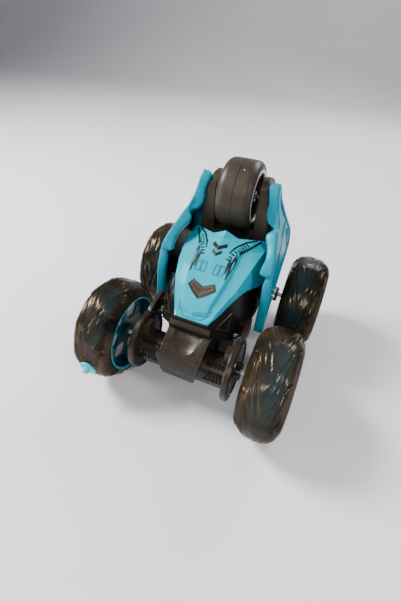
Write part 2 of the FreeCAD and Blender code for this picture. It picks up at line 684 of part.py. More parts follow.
def fifth_wheel():
    """A solid slick tyre on a dished rim with bright rings, free to spin on a fixed pin."""
    half, ring = size.fifth_width / 2, size.fifth_ring
    body, turned = revolved("fifth_tyre_body", [
        (ring, -half), (size.fifth_radius, -half), (size.fifth_radius, half), (ring, half)])
    doc.recompute()
    crown = [e for e, edge in enumerate(turned.Shape.Edges, 1)
             if edge.Curve.TypeId == "Part::GeomCircle"
             and abs(edge.Curve.Radius - size.fifth_radius.value) < 0.01]
    rounded = body.newObject("PartDesign::Fillet", "Shoulders")
    rounded.Base = (turned, ["Edge%d" % e for e in crown])
    rounded.Radius = 5.6
    node("fifth_tyre", on_pin(body))

    inside = ring - 2.2
    bore = size.fifth_pin + size.running
    web, _ = revolved("fifth_rim_body", [
        (bore, 3.0 - half), (5.0, 3.0 - half), (5.0, -2.0), (inside, -2.0), (inside, 2.0), (5.0, 2.0),
        (5.0, half - 3.0), (bore, half - 3.0)])
    node("fifth_rim", on_pin(web))
    barrel, _ = revolved("fifth_barrel_body", [
        (inside, 1.8 - half), (ring, 1.8 - half), (ring, half - 1.8), (inside, half - 1.8)])
    node("fifth_barrel", on_pin(barrel))

    rings = []
    for end in (-1, 1):
        trim, _ = revolved("trim", [(inside, end * (half - 1.8)), (ring, end * (half - 1.8)),
                                    (ring, end * half), (inside, end * half)])
        rings.append(on_pin(trim))
    group("fifth_trim_rings", rings)
    reach = size.arm_inner + size.arm_thick
    node("fifth_pin", rod(size.fifth_pin, (-reach, reach), size.fifth_back, size.fifth_height))


def on_pin(body):
    return place(body, 0.0, size.fifth_back, size.fifth_height, Rotation(ALONG_Y, 90))


# ---------------------------------------------------------------- the whole car

# Each wheel: its side, distance from the middle, place along the car, the direction from its axle
# towards its motor, and how far the wheel stands turned, which sets where its plug is.
WHEELS = {
    "fl": (LEFT, size.front_half_track, front_y, 1, 140.0),
    "fr": (RIGHT, size.front_half_track, front_y, 1, 40.0),
    "rl": (LEFT, size.rear_half_track, rear_y, -1, 222.0),
    "rr": (RIGHT, size.rear_half_track, rear_y, -1, 38.0),
}

for corner, (side, x, y, inward, spin) in WHEELS.items():
    tyre("tyre_" + corner, side, x, y, spin)
    rim("rim_" + corner, side, x, y, spin)
    inflation_plug("inflation_plug_" + corner, side, x, y, spin)
    wheel_shaft("wheel_shaft_" + corner, side, x, y)
    hub_cap("hub_cap_" + corner, side, x, y, spin)
    gear_pair(corner, side, y, inward)
    motor("motor_" + corner, side, y, inward)

axle_unit("front", front_y, 1, [front_nose()] + front_stays(), [nose_room()], size.boss_length)
axle_unit("rear", rear_y, -1, [rear_saddle()], [], size.boss_length + 4.0)
side_casing()
hood()
emblem()
lip_strip()
rear_cover()
for side, word in ((LEFT, "left"), (RIGHT, "right")):
    arm("arm_" + word, side)
    side_panel("side_panel_" + word, side)
panel_brackets()
battery_tub()
battery_door()
power_switch()
inside_tub()
fasteners()
fifth_wheel()
doc.recompute()

faults = [obj.Name for obj in doc.Objects if "Invalid" in obj.State or "Error" in obj.State]
faults += [obj.Label for obj in nodes if obj.Shape.isNull() or not obj.Shape.isValid()]
if faults:
    raise SystemExit("failed: " + ", ".join(faults))

os.makedirs("parts", exist_ok=True)
for obj in nodes:
    obj.Shape.exportStep("parts/" + obj.Label + ".step")
    print("%-22s %2d solids %9.1f mm3" % (obj.Label, len(obj.Shape.Solids), obj.Shape.Volume))
print(len(nodes), "nodes")
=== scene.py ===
import math

import bmesh
import bpy
import numpy as np
from mathutils import Matrix, Vector
from mathutils.bvhtree import BVHTree


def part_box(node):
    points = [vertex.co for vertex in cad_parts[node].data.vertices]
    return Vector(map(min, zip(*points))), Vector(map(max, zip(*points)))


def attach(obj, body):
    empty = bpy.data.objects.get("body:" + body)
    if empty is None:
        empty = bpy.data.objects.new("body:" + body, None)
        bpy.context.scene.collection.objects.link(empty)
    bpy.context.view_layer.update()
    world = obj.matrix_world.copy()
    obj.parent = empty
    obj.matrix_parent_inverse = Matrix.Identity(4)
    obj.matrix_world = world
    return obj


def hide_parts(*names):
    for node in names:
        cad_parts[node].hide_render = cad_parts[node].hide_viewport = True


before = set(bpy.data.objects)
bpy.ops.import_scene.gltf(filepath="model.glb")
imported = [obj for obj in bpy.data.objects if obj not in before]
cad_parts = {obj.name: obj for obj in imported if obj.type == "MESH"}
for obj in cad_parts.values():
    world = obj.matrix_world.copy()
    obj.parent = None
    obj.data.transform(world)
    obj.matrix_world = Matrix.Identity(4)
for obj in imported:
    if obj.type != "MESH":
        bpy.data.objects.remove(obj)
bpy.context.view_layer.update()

MM = 0.001
LEFT, RIGHT = -1, 1
SIDES = (("left", LEFT), ("right", RIGHT))
SHAFT_RADIUS = 2.25
AXLE_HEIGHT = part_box("wheel_shaft_fl")[0].z / MM + SHAFT_RADIUS
FRONT_Y, REAR_Y = -60.0, 60.0
FRONT_HALF_TRACK, REAR_HALF_TRACK = 78.0, 82.0
WHEELS = {  # corner: side, distance from the middle, place along the car, turn of the tyre's pattern
    "fl": (LEFT, FRONT_HALF_TRACK, FRONT_Y, 140.0),
    "fr": (RIGHT, FRONT_HALF_TRACK, FRONT_Y, 40.0),
    "rl": (LEFT, REAR_HALF_TRACK, REAR_Y, 222.0),
    "rr": (RIGHT, REAR_HALF_TRACK, REAR_Y, 38.0),
}
scene = bpy.context.scene


def placed(name, data):
    """A new object in the scene."""
    obj = bpy.data.objects.new(name, data)
    scene.collection.objects.link(obj)
    return obj


# --- camera, light and floor

def aim(obj, place, target, roll=0.0):
    """Puts obj at place looking at target, turned by roll about its line of sight."""
    forward = (target - place).normalized()
    right = forward.cross(Vector((0, 0, 1))).normalized()
    up = right.cross(forward)
    c, s = math.cos(roll), math.sin(roll)
    axes = Matrix((right * c + up * s, up * c - right * s, -forward)).transposed()
    obj.matrix_world = Matrix.Translation(place) @ axes.to_4x4()


CAMERA_PLACE, CAMERA_TARGET = (82.06, -240.3, 290.7), (-16.06, 5.1, 56.68)
CAMERA_ROLL, LENS, SENSOR_WIDTH = 0.04634, 19.79, 36.0


def make_camera():
    data = bpy.data.cameras.new("view")
    data.lens, data.sensor_width = LENS, SENSOR_WIDTH
    data.clip_start, data.clip_end = 0.01, 20.0
    camera = placed("view", data)
    aim(camera, Vector(CAMERA_PLACE) * MM, Vector(CAMERA_TARGET) * MM, CAMERA_ROLL)
    scene.camera = camera


SKY_COLOUR, SKY_STRENGTH = (0.80, 0.80, 0.84, 1.0), 0.24
LIGHTS = [  # name, place, target, width and height in metres, power in watts
    ("key", (-0.95, -0.10, 1.00), (0.0, 0.0, 0.06), 0.36, 0.36, 33.0),
    ("front", (0.10, -1.10, 0.95), (0.0, -0.05, 0.08), 0.35, 0.30, 6.0),
    ("strip_left", (-0.70, -0.60, 0.22), (-0.06, -0.05, 0.07), 0.05, 0.60, 3.5),
    ("strip_right", (0.70, -0.25, 0.55), (0.08, -0.05, 0.05), 0.04, 0.50, 3.0),
    ("back", (0.35, 1.1, 0.9), (0.0, 0.0, 0.1), 0.7, 0.4, 12.0),
]


def make_lights():
    world = bpy.data.worlds.new("studio")
    world.use_nodes = True
    sky = world.node_tree.nodes["Background"]
    sky.inputs["Color"].default_value = SKY_COLOUR
    sky.inputs["Strength"].default_value = SKY_STRENGTH
    scene.world = world
    for name, place, target, width, height, power in LIGHTS:
        data = bpy.data.lights.new(name, "AREA")
        data.shape, data.size, data.size_y = "RECTANGLE", width, height
        data.energy = power
        aim(placed(name, data), Vector(place), Vector(target))


def make_floor():
    """A sheet of paper that bends up behind the car, in metres."""
    near, wide, far, tall, bend = -2.5, 3.0, 2.2, 2.4, 0.8
    rows = [(near, 0.0)] + [
        (far - bend + bend * math.sin(a), bend - bend * math.cos(a))
        for a in np.linspace(0.0, math.pi / 2, 17)] + [(far, tall)]
    points = [(x, y, z) for y, z in rows for x in (-wide, wide)]
    faces = [(2 * i, 2 * i + 1, 2 * i + 3, 2 * i + 2) for i in range(len(rows) - 1)]
    mesh = bpy.data.meshes.new("studio_floor")
    mesh.from_pydata(points, [], faces)
    for face in mesh.polygons:
        face.use_smooth = True
    studio_paper()
    mesh.materials.append(PAINT["studio_paper"])
    placed("studio_floor", mesh)


# --- materials

PAINT = {}  # the finishes by name, filled in by Shader


class Shader:
    """A finish with a Principled shader, and short ways to add nodes to it."""

    def __init__(self, name, **constants):
        PAINT[name] = bpy.data.materials.new(name)
        PAINT[name].use_nodes = True
        self.tree = PAINT[name].node_tree
        self.main = self.tree.nodes["Principled BSDF"]
        self.place = self.add("ShaderNodeTexCoord").outputs["Object"]
        for socket, value in constants.items():
            self.main.inputs[socket.replace("_", " ")].default_value = value

    def add(self, kind, values=None, **settings):
        """A new node with values for its inputs and settings of its own."""
        made = self.tree.nodes.new(kind)
        for key, value in settings.items():
            setattr(made, key, value)
        for socket, value in (values or {}).items():
            made.inputs[socket].default_value = value
        return made

    def join(self, source, target):
        self.tree.links.new(source, target)

    def noise(self, scale, detail=3.0, rough=0.5, stretch=None):
        made = self.add("ShaderNodeTexNoise", {"Scale": scale, "Detail": detail, "Roughness": rough})
        where = self.place
        if stretch:
            mapping = self.add("ShaderNodeMapping", {"Scale": stretch})
            self.join(where, mapping.inputs["Vector"])
            where = mapping.outputs["Vector"]
        self.join(where, made.inputs["Vector"])
        return made.outputs["Fac"]

    def remap(self, source, low, high, to_low=0.0, to_high=1.0):
        limits = {"From Min": low, "From Max": high, "To Min": to_low, "To Max": to_high}
        made = self.add("ShaderNodeMapRange", limits)
        self.join(source, made.inputs["Value"])
        return made.outputs["Result"]

    def math(self, operation, a, b):
        made = self.add("ShaderNodeMath", operation=operation)
        for socket, value in zip(made.inputs, (a, b)):
            if isinstance(value, float):
                socket.default_value = value
            else:
                self.join(value, socket)
        return made.outputs[0]

    def mix(self, share, low, high):
        """The colour between low and high, each a tuple or a socket."""
        made = self.add("ShaderNodeMix", data_type="RGBA")
        factor, colour_a, colour_b = (made.inputs[i] for i in (0, 6, 7))
        self.join(share, factor)
        for socket, colour in ((colour_a, low), (colour_b, high)):
            if isinstance(colour, tuple):
                socket.default_value = (*colour, 1.0)
            else:
                self.join(colour, socket)
        return made.outputs[2]

    def edges(self, radius):
        """1 where an edge stands out within radius, 0 on flat ground."""
        flat, sharp = 0.995, 0.86
        round_off = self.add("ShaderNodeBevel", {"Radius": radius}, samples=4)
        true = self.add("ShaderNodeNewGeometry").outputs["Normal"]
        dot = self.add("ShaderNodeVectorMath", operation="DOT_PRODUCT")
        self.join(round_off.outputs["Normal"], dot.inputs[0])
        self.join(true, dot.inputs[1])
        return self.remap(dot.outputs["Value"], flat, sharp)

    def bump(self, height, distance, strength=1.0):
        made = self.add("ShaderNodeBump", {"Distance": distance, "Strength": strength})
        self.join(height, made.inputs["Height"])
        return made.outputs["Normal"]

    def set(self, socket, source):
        self.join(source, self.main.inputs[socket])


NOISE_RANGE = (0.3, 0.7)  # where most of a noise lies
EDGE_WEAR_AND_HIGHLIGHT_RADIUS = 0.0007  # in metres
PAINTED_SHADE_SHARE = 0.28  # share of the colour that is left at the lower height


def shade(colour, share, plus=0.0):
    return tuple(min(c * share + plus, 1.0) for c in colour)


def moulded(name, colour, spread=0.12, rough=(0.28, 0.42), grain=0.00003, grain_scale=2500.0,
            edge_wear_and_highlight=None, painted_shade_heights=None, **constants):
    """Moulded plastic: faint flow marks in the colour, fine grain, edges a little paler, partly wear and
    partly painted highlight.
    Given a pair of heights in metres, the colour deepens from the upper one to the lower one: painted shade
    on the lower parts."""
    s = Shader(name, **constants)
    flow = s.noise(45.0, 4.0, 0.6, (1.0, 0.35, 1.0))
    tone = s.mix(s.remap(flow, *NOISE_RANGE), shade(colour, 1.0 - spread), shade(colour, 1.0 + spread, 0.004))
    # Painted shade: the colour darkens towards the bottom.
    if painted_shade_heights:
        height = s.add("ShaderNodeSeparateXYZ")
        s.join(s.place, height.inputs[0])
        tone = s.mix(s.remap(height.outputs["Z"], *painted_shade_heights), shade(colour, PAINTED_SHADE_SHARE), tone)
    # Paler edges: partly wear, partly painted highlight.
    worn_and_lit_edge = edge_wear_and_highlight or shade(colour, 1.35, 0.006)
    scuffs = s.remap(s.noise(420.0, 4.0, 0.7), 0.42, 0.68)
    wear_and_highlight_mask = s.math("MULTIPLY", s.edges(EDGE_WEAR_AND_HIGHLIGHT_RADIUS), scuffs)
    s.set("Base Color", s.mix(s.math("MULTIPLY", wear_and_highlight_mask, 0.55), tone, worn_and_lit_edge))
    blotch = s.remap(s.noise(160.0, 5.0, 0.65), *NOISE_RANGE, *rough)
    s.set("Roughness", s.math("ADD", blotch, s.math("MULTIPLY", wear_and_highlight_mask, 0.12)))
    s.set("Normal", s.bump(s.noise(grain_scale, 2.0), grain))


def studio_paper():
    s = Shader("studio_paper", Specular_IOR_Level=0.1)
    cloud = s.remap(s.noise(3.0, 2.0), *NOISE_RANGE)
    s.set("Base Color", s.mix(cloud, (0.8, 0.8, 0.835), (0.83, 0.83, 0.86)))
    s.set("Roughness", s.remap(s.noise(60.0, 3.0), 0.2, 0.8, 0.85, 0.95))
    s.set("Normal", s.bump(s.noise(900.0, 3.0), 0.00005))


def smoky_film():
    """Tinted inflated vinyl: clearer over the middle of the tread, thick and dark at the shoulders."""
    s = Shader("smoky_film", Metallic=0.5, Specular_IOR_Level=0.06, Specular_Tint=(0.25, 0.2, 0.15, 1.0),
               Coat_Weight=0.12, Coat_Roughness=0.08)
    crown = s.add("ShaderNodeAttribute", attribute_name="crown").outputs["Fac"]
    cloud = s.noise(30.0, 3.0, 0.55)
    s.set("Base Color", s.mix(s.remap(cloud, 0.32, 0.7), (0.01, 0.0065, 0.003), (0.078, 0.053, 0.03)))
    clear = s.math("MULTIPLY", crown, s.remap(cloud, *NOISE_RANGE, 0.7, 1.0))
    s.set("Alpha", s.remap(clear, 0.0, 1.0, 0.99, 0.7))
    s.set("Roughness", s.remap(s.noise(70.0, 4.0, 0.6), *NOISE_RANGE, 0.16, 0.27))
    s.set("Normal", s.bump(s.noise(90.0, 2.0, 0.5, (1.0, 0.5, 0.5)), 0.0002, 0.5))


def rim_under_film():
    """The rim's blue as it shows through the tread, on the tyre skin's inner wall."""
    s = Shader("rim_under_film", Specular_IOR_Level=0.1)
    s.set("Base Color", s.mix(s.remap(s.noise(40.0), *NOISE_RANGE), (0.0, 0.16, 0.24), (0.0, 0.34, 0.46)))
    s.set("Roughness", s.remap(s.noise(90.0), *NOISE_RANGE, 0.4, 0.6))


def brushed(name, colour, rough=(0.14, 0.32), stretch=(1.0, 1.0, 14.0)):
    s = Shader(name, Metallic=1.0)
    marks = s.noise(500.0, 4.0, 0.6, stretch)
    s.set("Base Color", s.mix(s.remap(marks, *NOISE_RANGE), shade(colour, 0.8), colour))
    s.set("Roughness", s.remap(marks, *NOISE_RANGE, *rough))
    s.set("Normal", s.bump(marks, 0.00002))


GLOSS_TINT = (0.05, 0.75, 1.0, 1.0)
moulded("hood_blue", (0.0, 0.37, 0.49), 0.06, (0.16, 0.26), 0.00001, Specular_IOR_Level=0.3,
        Specular_Tint=GLOSS_TINT, Coat_Weight=0.04, Coat_Roughness=0.1)
moulded("panel_blue", (0.0, 0.22, 0.31), 0.08, (0.26, 0.38), 0.00002, Specular_IOR_Level=0.3,
        Specular_Tint=GLOSS_TINT)
# Darker blue for the vent outlines, and painted shade at the hood's front step and in the side plates' slots.
moulded("line_blue", (0.0, 0.17, 0.26), 0.08, (0.24, 0.36), 0.00002)
moulded("rim_blue", (0.0, 0.2, 0.31), 0.1, (0.2, 0.32))
# The rims' blue darkened as painted shade.
moulded("rim_painted_shade", (0.0, 0.075, 0.11), 0.15, (0.26, 0.4))
moulded("plug_blue", (0.01, 0.46, 0.56), 0.06, (0.25, 0.35))
# The black-bronze plastic is darkened below 64 mm as painted shade.
moulded("bronze_black", (0.02, 0.013, 0.007), 0.2, (0.24, 0.38), edge_wear_and_highlight=(0.08, 0.06, 0.04),
        painted_shade_heights=(0.042, 0.064), Specular_IOR_Level=0.3)
moulded("casing_black", (0.007, 0.0055, 0.004), 0.2, (0.3, 0.46), Specular_IOR_Level=0.25)
moulded("arm_brown", (0.04, 0.027, 0.017), 0.2, (0.28, 0.44), Specular_IOR_Level=0.3)
moulded("bronze_trim", (0.06, 0.036, 0.025), 0.2, (0.26, 0.4))
moulded("slick_rubber", (0.034, 0.023, 0.013), 0.2, (0.36, 0.5), 0.00006, 1800.0, Specular_IOR_Level=0.35)
moulded("nylon", (0.66, 0.66, 0.52), 0.05, (0.35, 0.45), Subsurface_Weight=0.1)
moulded("battery_wrap", (0.02, 0.09, 0.3), 0.1, (0.2, 0.3))
moulded("board_green", (0.01, 0.16, 0.06), 0.15, (0.3, 0.45))
moulded("pale_disc", (0.7, 0.7, 0.74), 0.04, (0.3, 0.4))
# A near-black finish that is painted shade: on the inner faces of the side plates, the slot floors of the
# housings and the gap at the nose.
moulded("lining_black", (0.003, 0.003, 0.003), 0.2, (0.4, 0.55), Specular_IOR_Level=0.12)
# Black for the printed marks, also used as painted shade round the hood's shield.
moulded("print_black", (0.01, 0.009, 0.008), 0.2, (0.3, 0.4))
brushed("motor_can", (0.5, 0.5, 0.51))
brushed("steel", (0.62, 0.61, 0.6))
brushed("chrome_ring", (0.95, 0.95, 0.95), (0.5, 0.62), (1.0, 1.0, 1.0))
smoky_film()
rim_under_film()


def dress(name, paint):
    """Gives a CAD node its finish."""
    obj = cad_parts[name]
    if not obj.material_slots:
        obj.data.materials.append(PAINT[paint])
    for slot in obj.material_slots:
        slot.material = PAINT[paint]


# --- mesh helpers

SMOOTH_ANGLE, ROUND_ANGLE = 32.0, 28.0


def outward_mesh(name, points, faces, weld=0.0):
    """A mesh from points in millimetres, its faces turned outwards, points within weld metres joined."""
    mesh = bpy.data.meshes.new(name)
    mesh.from_pydata([tuple(c * MM for c in p) for p in points], [], faces)
    tidy = bmesh.new()
    tidy.from_mesh(mesh)
    if weld:
        bmesh.ops.remove_doubles(tidy, verts=tidy.verts, dist=weld)
    bmesh.ops.recalc_face_normals(tidy, faces=tidy.faces)
    tidy.to_mesh(mesh)
    tidy.free()
    return mesh


def piece(name, points, faces, paint, slot=None, body="chassis", stands_for=None, angle=SMOOTH_ANGLE):
    """A new piece from points in millimetres; its material slot is called like its paint. slot is not used.
    """
    mesh = outward_mesh(name, points, faces, weld=1e-7)
    mesh.materials.append(PAINT[paint])
    return settle(placed(name, mesh), body, stands_for, angle)


def settle(obj, body="chassis", stands_for=None, angle=SMOOTH_ANGLE):
    """Shades obj smooth up to angle, lets it ride on a body and stand for a CAD node."""
    for face in obj.data.polygons:
        face.use_smooth = True
    obj.data.set_sharp_from_angle(angle=math.radians(angle))
    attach(obj, body)
    if stands_for:
        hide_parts(stands_for)
    return obj


def rounded(obj, width, segments=2, angle=ROUND_ANGLE):
    """Rounds the edges of obj that turn by more than angle."""
    made = obj.modifiers.new("round", "BEVEL")
    made.width, made.segments = width * MM, segments
    made.limit_method, made.angle_limit = "ANGLE", math.radians(angle)
    made.use_clamp_overlap = True
    made.harden_normals = True


def skinned(obj, thick):
    """Gives an open skin a thickness, inwards."""
    made = obj.modifiers.new("skin", "SOLIDIFY")
    made.thickness, made.offset = thick * MM, -1.0
    made.use_even_offset = True


def bake(obj):
    """Applies the modifiers of obj to its mesh."""
    bpy.context.view_layer.update()
    graph = bpy.context.evaluated_depsgraph_get()
    mesh = bpy.data.meshes.new_from_object(obj.evaluated_get(graph), depsgraph=graph)
    obj.modifiers.clear()
    old, obj.data = obj.data, mesh
    bpy.data.meshes.remove(old)


def cut(obj, tools, operation="DIFFERENCE"):
    """Cuts the tools out of obj, or adds them, and puts them away."""
    for tool in tools:
        made = obj.modifiers.new("cut", "BOOLEAN")
        made.operation, made.object, made.solver = operation, tool, "EXACT"
    bake(obj)
    for tool in tools:
        bpy.data.objects.remove(tool)
    return obj


def from_cad(node, name, paint, width, cutters=(), added=(), angle=ROUND_ANGLE):
    """A copy of a CAD node with shapes cut out of it or added to it and its edges rounded."""
    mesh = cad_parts[node].data.copy()
    tidy = bmesh.new()
    tidy.from_mesh(mesh)
    bmesh.ops.remove_doubles(tidy, verts=tidy.verts, dist=1e-6)
    bmesh.ops.dissolve_limit(tidy, angle_limit=math.radians(0.6), verts=tidy.verts, edges=tidy.edges)
    tidy.to_mesh(mesh)
    tidy.free()
    mesh.materials.clear()
    mesh.materials.append(PAINT[paint])
    obj = placed(name, mesh)
    if cutters:
        cut(obj, cutters)
    if added:
        cut(obj, added, "UNION")
    rounded(obj, width, angle=angle)
    settle(obj, stands_for=node)


def solid(points, faces):
    """A loose solid in millimetres, to cut with or to add."""
    return placed("tool", outward_mesh("tool", points, faces))


def full_turn(steps):
    return np.linspace(0.0, 2 * math.pi, steps, endpoint=False)


def net(count, total, ring=False):
    """Faces between loops of count points, total in all, and from the last loop to the first in a ring."""
    faces = []
    for i in range(total // count - (0 if ring else 1)):
        for j in range(count):
            a, b = i * count + j, i * count + (j + 1) % count
            faces.append((a, b, (b + count) % total, (a + count) % total))
    return faces


def loft(loops, closed=True):
    """Points and faces of a skin through equal loops, with its two ends filled where closed."""
    count = len(loops[0])
    points = [p for loop in loops for p in loop]
    faces = net(count, len(points))
    if closed:
        faces.append(tuple(range(count))[::-1])
        faces.append(tuple(range(len(points) - count, len(points))))
    return points, faces


def turned(profile, centre, steps=96):
    """A ring or disc about an axis along X from a closed profile of (x, radius)."""
    cx, cy, cz = centre
    points = []
    for i in range(steps):
        a = 2 * math.pi * i / steps
        points += [(cx + x, cy + r * math.cos(a), cz + r * math.sin(a)) for x, r in profile]
    return points, net(len(profile), len(points), ring=True)


def round_solid(seat, facing, profile, steps):
    """A round solid that stands on seat along facing, from pairs of (height, radius)."""
    turn = Vector((1.0, 0.0, 0.0)).rotation_difference(facing)
    return loft([[seat + turn @ Vector((h, r * math.cos(a), r * math.sin(a)))
                  for a in full_turn(steps)] for h, r in profile])


def merged(*parts):
    points, faces = [], []
    for p, f in parts:
        start = len(points)
        points += p
        faces += [tuple(i + start for i in face) for face in f]
    return points, faces


def plate(outline, cuts, near, far):
    """A closed plate: a flat outline, cut at each (axis, place), whose points near and far carry to
    its two surfaces."""
    flat = bmesh.new()
    flat.faces.new([flat.verts.new(p) for p in outline])
    bmesh.ops.triangulate(flat, faces=flat.faces)
    for axis, place in cuts:
        where, facing = [0.0, 0.0, 0.0], [0.0, 0.0, 0.0]
        where[axis], facing[axis] = place, 1.0
        bmesh.ops.bisect_plane(flat, geom=flat.verts[:] + flat.edges[:] + flat.faces[:],
                               plane_co=where, plane_no=facing)
    flat.verts.index_update()
    count = len(flat.verts)
    points = [carry(v.co) for carry in (near, far) for v in flat.verts]
    top = [tuple(v.index for v in f.verts) for f in flat.faces]
    faces = top + [tuple(i + count for i in reversed(f)) for f in top]
    for edge in flat.edges:
        if edge.is_boundary:
            i, j = (v.index for v in edge.verts)
            faces.append((i, j, j + count, i + count))
    flat.free()
    return points, faces


def block(x, y, z):
    corners = [(x[i], y[j], z[k]) for i in (0, 1) for j in (0, 1) for k in (0, 1)]
    return corners, [(0, 1, 3, 2), (4, 6, 7, 5), (0, 4, 5, 1), (2, 3, 7, 6), (0, 2, 6, 4), (1, 5, 7, 3)]


def bar(a, b, radius, sides=8):
    """A round bar between two points."""
    along = (b - a).normalized()
    across = along.cross(Vector((0.0, 0.0, 1.0))).normalized()
    over = along.cross(across)
    return loft([[p + (across * math.cos(t) + over * math.sin(t)) * radius for t in full_turn(sides)]
                 for p in (a, b)])


# --- inflated tyres

REPEATS = 9  # of the tread's pattern round a tyre
TYRE_RADIUS, TYRE_HALF, BEAD_RADIUS = 50.0, 20.5, 36.9
ARCH_DEPTH, ARCH_POWER = 20.0, 2.6
STEPS_AROUND, STEPS_ACROSS = 40 * REPEATS, 88
FOLD_WIDTH, SWELL_WIDTH = 0.8, 4.2
SWELL_OUTSIDE, SWELL_INSIDE = 0.75, 0.15  # how far the skin swells beside a fold, as shares of its depth
HASHES, HASH_GAP, HASH_HEIGHT, HASH_WIDTH = 4, 2.6, 0.7, 0.6  # short ribs on the shoulders
HASH_REACH = (15.6, 20.3)
SINK = 1.15  # how far the plain skin lies inside the outline, so that no lump stands out of it
BEAD_FADE, CROWN_HALF, CROWN_FADE = 5.0, 15.5, 9.0


def creases():
    """The length of one pattern period and its folds as runs of (distance round, place across, depth)."""
    pitch = 2 * math.pi * TYRE_RADIUS / REPEATS
    share = np.linspace(0.0, 1.0, 14)
    runs = []
    for hand, shift in ((1, 0.0), (-1, 0.5)):
        start = shift * pitch
        leaf = [(start + 58.0 * q, hand * (16.8 - 17.2 * q ** 0.8), 1.6 * (1 - 0.65 * q)) for q in share]
        vein = [(start + 12.0 + 34.0 * q, hand * (13.6 - 4.2 * q - 2.2 * q * q), 0.9 * (1 - 0.7 * q))
                for q in share]
        runs += [leaf, vein]
    return pitch, runs


def tyre_relief(around, across):
    """Height of the film above its plain form for each grid point, in millimetres."""
    pitch, runs = creases()
    relief = np.zeros(np.broadcast(around, across).shape)
    for run in runs:
        for turn in (-2, -1, 0, 1):
            nearest = np.full(relief.shape, 99.0)
            depth, above = np.zeros((2, *relief.shape))
            for (s0, x0, d0), (s1, x1, d1) in zip(run, run[1:]):
                ds, dx = s1 - s0, x1 - x0
                u = around - (s0 + turn * pitch)
                share = np.clip((u * ds + (across - x0) * dx) / (ds * ds + dx * dx), 0.0, 1.0)
                gap = np.hypot(u - share * ds, across - x0 - share * dx)
                closer = gap < nearest
                nearest = np.where(closer, gap, nearest)
                depth = np.where(closer, d0 + (d1 - d0) * share, depth)
                above = np.where(closer, np.sign((u * dx - (across - x0) * ds) * x0), above)
            relief -= depth * np.exp(-(nearest / FOLD_WIDTH) ** 2)
            swell = np.exp(-nearest / SWELL_WIDTH) * (1 - np.exp(-(nearest / FOLD_WIDTH) ** 2))
            relief += np.where(above > 0, SWELL_OUTSIDE, SWELL_INSIDE) * depth * swell
    return relief + shoulder_hashes(around, across, pitch)


def shoulder_hashes(around, across, pitch):
    """Height of the short ribs that stand in groups on the shoulders."""
    height = np.zeros(across.shape)
    edge, soft = np.abs(across), 0.8
    near, far = HASH_REACH
    band = np.clip((edge - near) / soft, 0, 1) * np.clip((far - edge) / soft, 0, 1)
    for hand, shift in ((1, 0.18), (-1, 0.68)):
        for i in range(HASHES):
            middle = (shift * pitch + HASH_GAP * i) % pitch
            gap = np.abs((around - middle + pitch / 2) % pitch - pitch / 2)
            height += HASH_HEIGHT * np.exp(-(gap / HASH_WIDTH) ** 2) * band * (np.sign(across) == hand)
    return height


def tyre_outline():
    """Places across the plain tyre and their radii, from bead to bead."""
    start = math.asin((BEAD_RADIUS - (TYRE_RADIUS - ARCH_DEPTH)) / ARCH_DEPTH) * 0.62
    angles = np.linspace(start, math.pi - start, STEPS_ACROSS)
    power = 2.0 / ARCH_POWER
    x = TYRE_HALF * np.sign(np.cos(angles)) * np.abs(np.cos(angles)) ** power
    r = (TYRE_RADIUS - ARCH_DEPTH) + ARCH_DEPTH * np.sin(angles) ** power
    keep = r >= BEAD_RADIUS
    return x[keep], r[keep]


def tyre(corner):
    """A tyre's creased skin; crown, a value of its points, is 1 over the middle of the tread."""
    side, out, y, spin = WHEELS[corner]
    x, r = tyre_outline()
    turn, across = np.meshgrid(full_turn(STEPS_AROUND), x, indexing="ij")
    radius = np.broadcast_to(r, across.shape)
    relief = tyre_relief((turn % (2 * math.pi / REPEATS)) * TYRE_RADIUS, across)
    lumps = 0.35 * np.sin(9 * turn + 0.16 * across) + 0.25 * np.sin(5 * turn + 1.1) * np.cos(across / 9)
    fade = np.clip((radius - BEAD_RADIUS) / BEAD_FADE, 0.0, 1.0)
    lift = np.minimum(relief + lumps - SINK, 0.0) * fade
    slope_x, slope_r = np.gradient(x), np.gradient(r)
    size = np.hypot(slope_x, slope_r)
    final_x = side * (across + lift * (slope_r / size))
    final_r = radius + lift * (-slope_x / size)
    spun = turn + math.radians(spin)
    points = np.stack([side * out + final_x, y + final_r * np.cos(spun),
                       AXLE_HEIGHT + final_r * np.sin(spun)], -1).reshape(-1, 3)
    faces = net(len(x), len(points), ring=True)
    obj = piece("inflated_tyre_" + corner, points.tolist(), faces, "smoky_film",
                "tyre_film", "wheel_" + corner, stands_for="tyre_" + corner, angle=180.0)
    crown = obj.data.attributes.new("crown", "FLOAT", "POINT")
    place = np.array([v.co.x for v in obj.data.vertices]) / MM - side * out
    share = np.clip((CROWN_HALF - np.abs(place)) / CROWN_FADE, 0.0, 1.0)
    crown.data.foreach_set("value", share.astype(np.float32))
    paint_inner_wall(obj, corner)


def paint_inner_wall(obj, corner):
    """Paints the part of a tyre's skin that lies on its rim."""
    side, out, y, _ = WHEELS[corner]
    obj.data.materials.append(PAINT["rim_under_film"])
    for face in obj.data.polygons:
        from_axle = (face.center.yz - Vector((y, AXLE_HEIGHT)) * MM).length
        from_middle = abs(face.center.x / MM - side * out)
        if from_axle < (BEAD_RADIUS + 1.0) * MM and from_middle < TYRE_HALF - 3.0:
            face.material_index = 1


PLUG_PLACE = {"fl": (-1.0, 188.0)}  # place across the tread and angle round it, where not the CAD plug's
PLUG_PROFILE = [(-1, 7.2), (0.2, 8), (1, 7.9), (1.4, 7.2), (1.2, 4.6), (1.7, 3.4), (4.6, 3), (5.6, 2.4)]
LIP_PLACE, LIP_RADIUS, LIP_WIDE, LIP_TALL = 19.0, 36.1, 0.8, 0.9
WINDOW_DISC = [(-7.9, 9.6), (-7.9, 34.4), (-7.1, 34.4), (-7.1, 9.6)]


